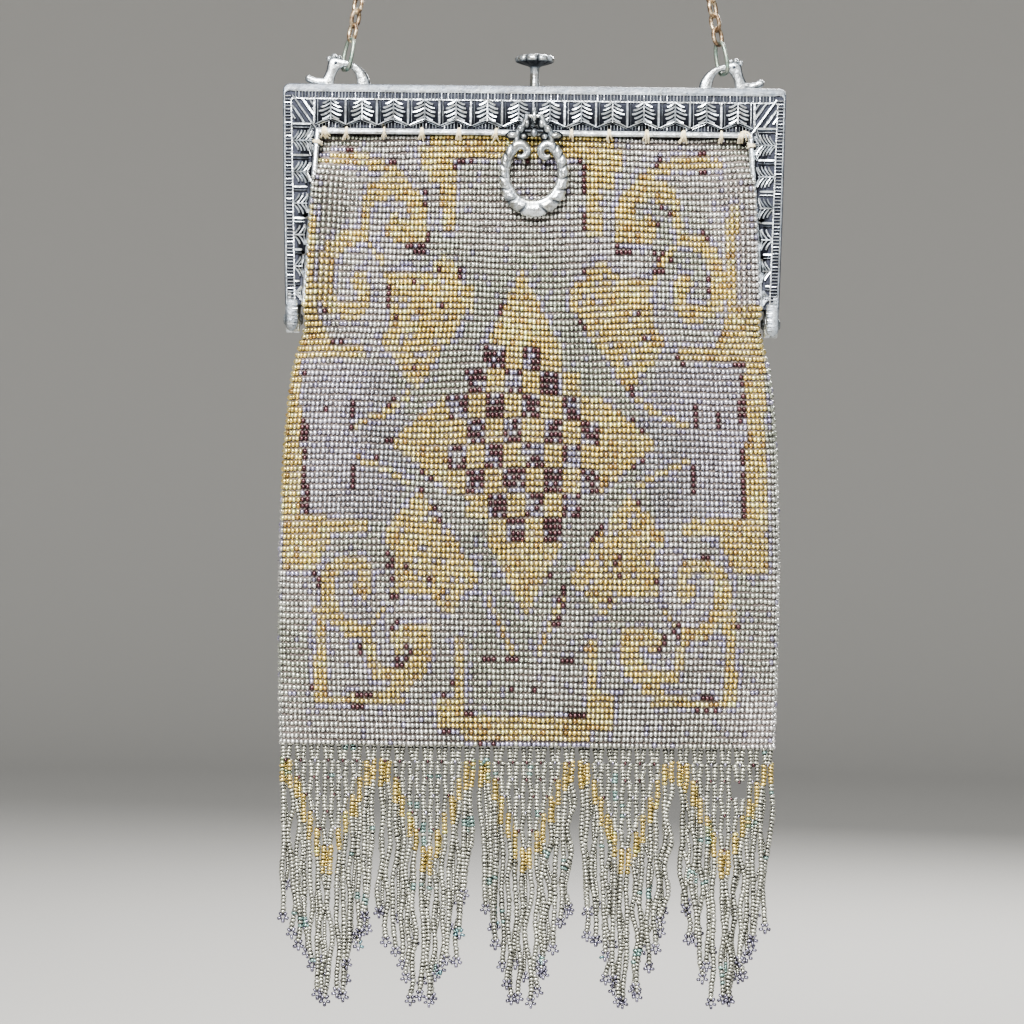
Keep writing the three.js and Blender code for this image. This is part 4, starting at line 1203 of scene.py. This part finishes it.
def strap(form, inner, outer, depth, relief, sides=16):
    """A flat cast strap between two edges, given as points in x and z, with rounded corners."""
    cos, sin = circle(sides, 0.5)
    groove = (cos > 0.7) & (cos < 0.98)  # a dark line beside the outer edge
    flat = ((inner + outer) / 2)[:, None] + ((outer - inner) / 2)[:, None] * cos[None, :, None]
    through = np.broadcast_to(LOOP_PLANE + sin * depth * np.where(groove, 0.8, 1.0), flat.shape[:2])
    rings = np.stack([flat[..., 0], through, flat[..., 1]], 2)
    form.add(rings, np.tile(np.where(groove, 0.1, relief), len(inner)))


def handle_loops():
    """Cast loops on the frame's top edge: an arch with lobes, a curled tail outwards and two pins."""
    angles = np.linspace(0, 180, 46)
    cos, sin = np.cos(np.radians(angles)), np.sin(np.radians(angles))
    eye = np.stack([-cos * (LOOP_EYE_WIDTH / 2 + 0.15), sin ** 0.85 * LOOP_EYE_HEIGHT - 0.1], 1)
    edge = smooth_table(np.array(LOOP_OUTER), angles)
    tail = smooth_path(LOOP_TAIL, 16)
    thick = np.interp(np.linspace(0, 1, 16), [0, 0.4, 0.8, 1], [1.35, 1.15, 1.15, 1.2])
    half = LOOP_THICKNESS / 2
    for side, name in SIDES:
        low = node_box(f"handle_loop_{name}")[0]

        def spot(outwards, up, plane=LOOP_PLANE):
            return [side * (LOOP_X + outwards), plane, TOP + CLEARANCE + up]

        form = Form()
        inner, outer = (np.array([spot(*flat) for flat in line])[:, ::2] for line in (eye, edge))
        strap(form, inner, outer, half, 0.95)
        tube(form, [spot(*flat) for flat in tail], np.stack([thick, thick * 1.1], 1), (0, 1, 0),
             sides=14, square=0.7)
        for outwards, up, radius in LOOP_LOBES + [LOOP_TIP]:
            ball(form, spot(outwards, up), (radius, half + 0.1, radius))
        outwards, up, radius = LOOP_HOLLOW
        for face in (-1, 1):
            ball(form, spot(outwards, up, LOOP_PLANE + face * (half - 0.05)), (radius, 0.16, radius), 0.0)
        for outwards in LOOP_PINS:
            pin = spot(outwards, 1.0)
            tube(form, [pin, pin[:2] + [low[2]]], 0.85, (1, 0, 0))
        piece = form_object(f"loop_{name}", form, METALS["bright"], "purse", "bright_metal", 50)
        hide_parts(f"handle_loop_{name}")


def smooth_table(table, stops):
    """The later columns of a table at stops in its first column, smoothed."""
    fine = np.linspace(table[0, 0], table[-1, 0], 181)
    columns = []
    for listed in table[:, 1:].T:
        padded = np.pad(np.interp(fine, table[:, 0], listed), 6, mode="reflect", reflect_type="odd")
        columns.append(np.interp(stops, fine, np.convolve(padded, np.ones(13) / 13, "valid")))
    return np.stack(columns, 1)


# Clasp

def clasp():
    under = node_box("clasp_knob")[0][2] - TOP
    profile = [  # radius, height and relief
        (1.2, under, 0.5), (2.5, under + 0.1, 0.5), (2.5, under + 1.4, 0.5), (1.7, under + 1.6, 0.3),
        (1.7, 0.6, 0.7), (1.5, 1.8, 0.9), (1.45, 4.6, 0.9), (1.5, 6.6, 0.5), (2.0, 7.1, 0.1), (4.6, 7.9, 0.0),
        (5.8, 8.3, 0.05), (6.3, 8.6, 0.6), (6.5, 9.0, 1.0), (6.5, 9.7, 1.0), (6.2, 10.2, 0.95),
        (5.5, 10.6, 0.9), (4.7, 10.5, 0.4), (3.6, 10.8, 0.9), (2.2, 11.1, 1.0), (0.6, CLASP_HEIGHT, 1.0),
    ]
    form = Form()
    lathe(form, profile, TOP, lobes=9, valley_depth=0.16, lobe_from=4.0)
    piece = form_object("clasp_button", form, METALS["pull"], "clasp", "bright_metal", 50)
    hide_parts("clasp_knob")


# Pull

PULL_WIDTH = 24.3
PULL_HEIGHT = 27.2
PULL_SIDE = 3.3
PULL_FOOT = 5.9
PULL_DEPTH = 3.2
PULL_NECK = 5.7
PULL_PIN_LENGTH = 4.6
PULL_PIN_RADIUS = 0.65
PULL_OPENING = math.radians(142)
PULL_CURL = math.radians(265)  # how far the scroll turns in
PULL_SEGMENT = 4.4  # spacing of the grooves at the foot
PULL_GROOVE = 0.42
PULL_SLANT = 1.1  # how far a groove runs on from the inner edge to the outer one
PULL_BUMPS = [  # petals between the shoulder and the bail: outwards, down, half width, half height, depth
    (2.4, 2.4, 1.0, 1.7, 1.1), (4.4, 4.2, 1.45, 1.5, 1.45),
    (6.9, 6.3, 2.2, 1.25, 1.3), (3.4, 6.6, 1.2, 1.0, 1.1),
]
PULL_BELL = (5.4, 1.35, 1.5, 1.2)  # down, half width, half height, depth
BAIL_HALF = 1.6  # half the eye's height, and its wire
BAIL_WIRE = 1.2


def pull_side():
    """Half the horseshoe's line, from its foot to the shoulder and round the scroll, and its thicknesses."""
    half_across = (PULL_WIDTH - PULL_SIDE) / 2 - 0.9
    half_up = (PULL_HEIGHT - (PULL_FOOT + PULL_SIDE) / 2) / 2
    centre = -(PULL_NECK + PULL_SIDE / 2 + half_up)
    share = np.linspace(0, 1, 120)
    angle = share * PULL_OPENING
    path = np.stack([np.sin(angle) * half_across, centre - np.cos(angle) * half_up], 1)
    thickness = PULL_FOOT + (PULL_SIDE * 1.08 - PULL_FOOT) * np.minimum(share * 1.6, 1)
    heading = math.atan2(*(path[-1] - path[-2])[::-1])
    curl = PULL_SIDE * 0.76
    hub = path[-1] + curl * np.array([-math.sin(heading), math.cos(heading)])
    turn = np.linspace(0, 1, 34)[1:]
    around = heading - math.pi / 2 + turn * PULL_CURL
    scroll = hub + np.stack([np.cos(around), np.sin(around)], 1) * (curl * (1 - turn * 0.42))[:, None]
    thickness = np.concatenate([thickness, PULL_SIDE * (1.08 - turn * 0.62)])
    return np.concatenate([path, scroll]), thickness, len(path)


def pull_limb(form, place, side, sides=22):
    """One half of the horseshoe: a plain rim inside and, outside it, lobes parted by slanting grooves."""
    path, thickness, scroll_from = pull_side()
    length = travelled(path)
    shoulder = length[scroll_from - 1]
    grooves = [PULL_SEGMENT / 2]
    while grooves[-1] < shoulder - 2.5:
        grooves.append(grooves[-1] + PULL_SEGMENT * (1 - 0.045 * len(grooves)))
    ahead = unit(np.gradient(path, axis=0))
    outward = np.stack([ahead[:, 1], -ahead[:, 0]], 1)
    reach, rise = circle(sides)
    rim = np.exp(-((reach + 0.42) / 0.12) ** 2) * (np.abs(rise) > 0.2)
    rings, relief = [], []
    for spot, out, thick, run in zip(path, outward, thickness, length):
        depth = PULL_DEPTH / 2 * (0.72 + 0.28 * thick / PULL_FOOT)
        past = [(run - PULL_SLANT * (reach + 0.4) - groove) / PULL_GROOVE for groove in grooves]
        cut = np.exp(-np.square(past)).max(0) * np.clip((reach + 0.35) * 4, 0, 1) * (run < shoulder)
        flat = spot + out * (reach * thick / 2 * (1 - 0.16 * cut))[:, None]
        through = rise * depth * (1 - 0.3 * cut - 0.2 * rim)
        rings.append(np.stack([side * flat[:, 0], through, flat[:, 1]], 1) + place)
        relief.append(0.95 - 0.95 * cut - 0.55 * rim)
    form.add(rings, np.clip(relief, 0, 1))
    return path[scroll_from - 1]


def drop_pull():
    """A cast horseshoe with gadrooned outer edge, scroll ends and petals, on a pin in the bail."""
    place = np.array([0, PIVOT_PLANE, TOP - PIVOT_DROP])
    half_pin = PULL_PIN_LENGTH / 2
    form = Form()
    for side in (-1, 1):
        shoulder = pull_limb(form, place, side)
        stem = smooth_path([(half_pin, 0.3), (3.4, -2.9), (5.2, -5.0), shoulder], 14)
        tube(form, [place + [side * x, 0, z] for x, z in stem], 1.05, (0, 1, 0), sides=12, relief=0.45)
        for outwards, down, across, up, depth in PULL_BUMPS:
            ball(form, place + [side * outwards, 0, -down], (across + 0.35, depth * 0.72, up + 0.35), 0.0)
            ball(form, place + [side * outwards, -0.3, -down], (across * 0.9, depth, up * 0.9), 0.95)
    down, across, up, depth = PULL_BELL
    ball(form, place + [0, 0, -down], (across, depth, up), 0.7)
    bridge = [place + [x, 0.2, -down + 0.6] for x in (-3.0, 3.0)]
    tube(form, bridge, 0.6, (0, 1, 0), sides=8, relief=0.1)
    pin = [place + [x, 0, 0] for x in (-half_pin - 0.6, half_pin + 0.6)]
    tube(form, pin, PULL_PIN_RADIUS, (0, 1, 0), sides=12)
    piece = form_object("pull_ring", form, METALS["pull"], "pull", "bright_metal", 60)
    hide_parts("drop_pull")


def bail():
    """The small eye that carries the pull, on a flat teardrop plate."""
    inside = node_box("pull_bail")[1][1]
    middle = TOP - PIVOT_DROP
    path = [(0, PIVOT_PLANE - math.sin(a) * 1.55, middle + math.cos(a) * BAIL_HALF)
            for a in np.linspace(0, math.pi, 14)]
    path = [(0, inside, middle + BAIL_HALF), *path, (0, inside, middle - BAIL_HALF)]
    form = Form()
    tube(form, path, BAIL_WIRE / 2, (1, 0, 0))
    for width, rise in ((2.6, 0.55), (1.3, 0.9)):
        blade(form, [(0, -drop) for drop in (7.0, 8.2, 9.6, 11.6, 13.2)], width, rise, (0.55, 1.15))
    piece = form_object("bail_eye", form, METALS["pull"], "purse", "bright_metal", 50)
    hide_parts("pull_bail")


# Stitches

STITCH_RADIUS = 0.3


def stitches():
    """Cream silk over the rim from each sewing hole into the cloth, in several strands."""
    rng = np.random.default_rng(91)
    form = Form()
    for flip in (1, -1):
        for x, height in hole_places():
            if height < -COVER_DROP:
                continue  # the cloth covers the arms' lower stitches
            on_band = height > -BAND_HEIGHT
            strands = rng.integers(8, 10) if abs(x) > 66 and on_band else rng.integers(4, 7)
            away = np.array([0, -1.0] if on_band else [-np.sign(x), 0])
            aside = away[::-1]
            for _ in range(strands):
                shift = rng.normal(0, 0.36 if strands < 8 else 0.8)
                end = rng.normal(0, 0.6) + shift
                reach = rng.uniform(3.2, 4.6) if on_band else rng.uniform(2.6, 3.6)
                over = RIM_RAISE + STITCH_RADIUS
                steps = ((0.5, 0, -0.6), (1.1, shift * 0.6, over), (2.6, shift, over), (reach, end, -1.6))
                spots = [frame_point(*(away * far + aside * beside + [x, height]), rise)
                         for far, beside, rise in steps]
                normal = (1, 0.3, 0) if on_band else (0, 0.3, 1)
                tube(form, smooth_path(spots, 9) * [flip, flip, 1], STITCH_RADIUS, normal, sides=6)
    form_object("stitches", form, CREAM_THREAD, "purse", "bead_cloth", 80)


def hinge_rivets():
    """The rivets' own shapes are right; they only need their finish."""
    for name in ("hinge_rivet_left", "hinge_rivet_right"):
        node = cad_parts[name]
        node.data.materials.clear()
        node.data.materials.append(METALS["rivet"])


# Light, floor and camera

CAMERA_DISTANCE = 1150.0
VIEW_WIDTH = 335.5  # what the picture spans at the purse
VIEW_CENTRE = (-5.8, -444.9)
VIEW_ROLL = math.radians(-0.65)
SENSOR = 36.0
FLOOR_RADIUS = 2600.0  # the flat part, then the round that leads up to the wall
FLOOR_COVE = 900.0
FLOOR_DROP = 200.0  # floor below the bag's hem
WALL_HEIGHT = 1900.0
LIGHT_AIM = (0, 0, -0.45)  # in metres, as the lights' places are
LIGHTS = [  # name, place, size, power and colour
    ("key", (-0.3, -1.35, 0.5), 0.7, 114, (1.0, 0.99, 0.97)),
    ("fill", (1.1, -0.9, -0.2), 0.9, 5, (0.94, 0.97, 1.0)),
    ("top", (0.1, 0.3, 1.0), 0.8, 14, (1, 1, 1)),
    ("behind", (0.4, 1.4, 0.3), 0.6, 30, (1, 1, 1)),
]


def camera():
    data = bpy.data.cameras.new("camera")
    data.sensor_width = SENSOR
    data.lens = SENSOR * CAMERA_DISTANCE / VIEW_WIDTH
    data.clip_end = 100
    eye = show("camera", data)
    eye.location = np.array([VIEW_CENTRE[0], -CAMERA_DISTANCE, VIEW_CENTRE[1]]) * METRES
    eye.rotation_euler = (math.pi / 2, VIEW_ROLL, 0)
    bpy.context.scene.camera = eye


def lights():
    for name, place, size, power, colour in LIGHTS:
        data = bpy.data.lights.new(name, "AREA")
        data.size = size
        data.energy = power
        data.color = colour
        lamp = show(name, data)
        lamp.location = place
        x, y, z = np.subtract(LIGHT_AIM, place)
        lamp.rotation_euler = (math.atan2(math.hypot(x, y), -z), 0, math.atan2(y, x) - math.pi / 2)
    world = bpy.data.worlds.new("world")
    world.use_nodes = True
    sky = world.node_tree.nodes["Background"]
    sky.inputs["Color"].default_value = (0.80, 0.84, 0.88, 1)
    sky.inputs["Strength"].default_value = 0.5
    bpy.context.scene.world = world
    bpy.context.scene.view_settings.look = "AgX - Medium High Contrast"


def floor(sides=64):
    """A round pale floor that turns up into a low wall."""
    paint = Paint("floor_paint", Roughness=0.85, Base_Color=(160, 158, 154))
    profile = [(0.01, 0), (FLOOR_RADIUS * 0.4, 0), (FLOOR_RADIUS * 0.75, 0), (FLOOR_RADIUS, 0)]
    profile += [(FLOOR_RADIUS + math.sin(a) * FLOOR_COVE, FLOOR_COVE - math.cos(a) * FLOOR_COVE)
                for a in np.linspace(0, math.pi / 2, 12)[1:]] + [(FLOOR_RADIUS + FLOOR_COVE, WALL_HEIGHT)]
    cos, sin = circle(sides)
    ground = HEM - FLOOR_DROP
    rings = [np.stack([cos * reach, sin * reach, np.full(sides, ground + z)], 1) for reach, z in profile]
    quads, caps = ring_faces(len(profile), sides)
    faces = [face[::-1] for face in quads + caps[:1]]
    mesh = bpy.data.meshes.new("floor")
    mesh.from_pydata((np.concatenate(rings) * METRES).tolist(), [], faces)
    mesh.polygons.foreach_set("use_smooth", [True] * len(mesh.polygons))
    mesh.materials.append(paint.material)
    piece = show("floor", mesh)


bead_cloth()
ground_cloth()
fringe()
frame_half(True)
frame_half(False)
end_rings()
handle_chain()
handle_loops()
clasp()
drop_pull()
bail()
stitches()
hinge_rivets()
camera()
lights()
floor()
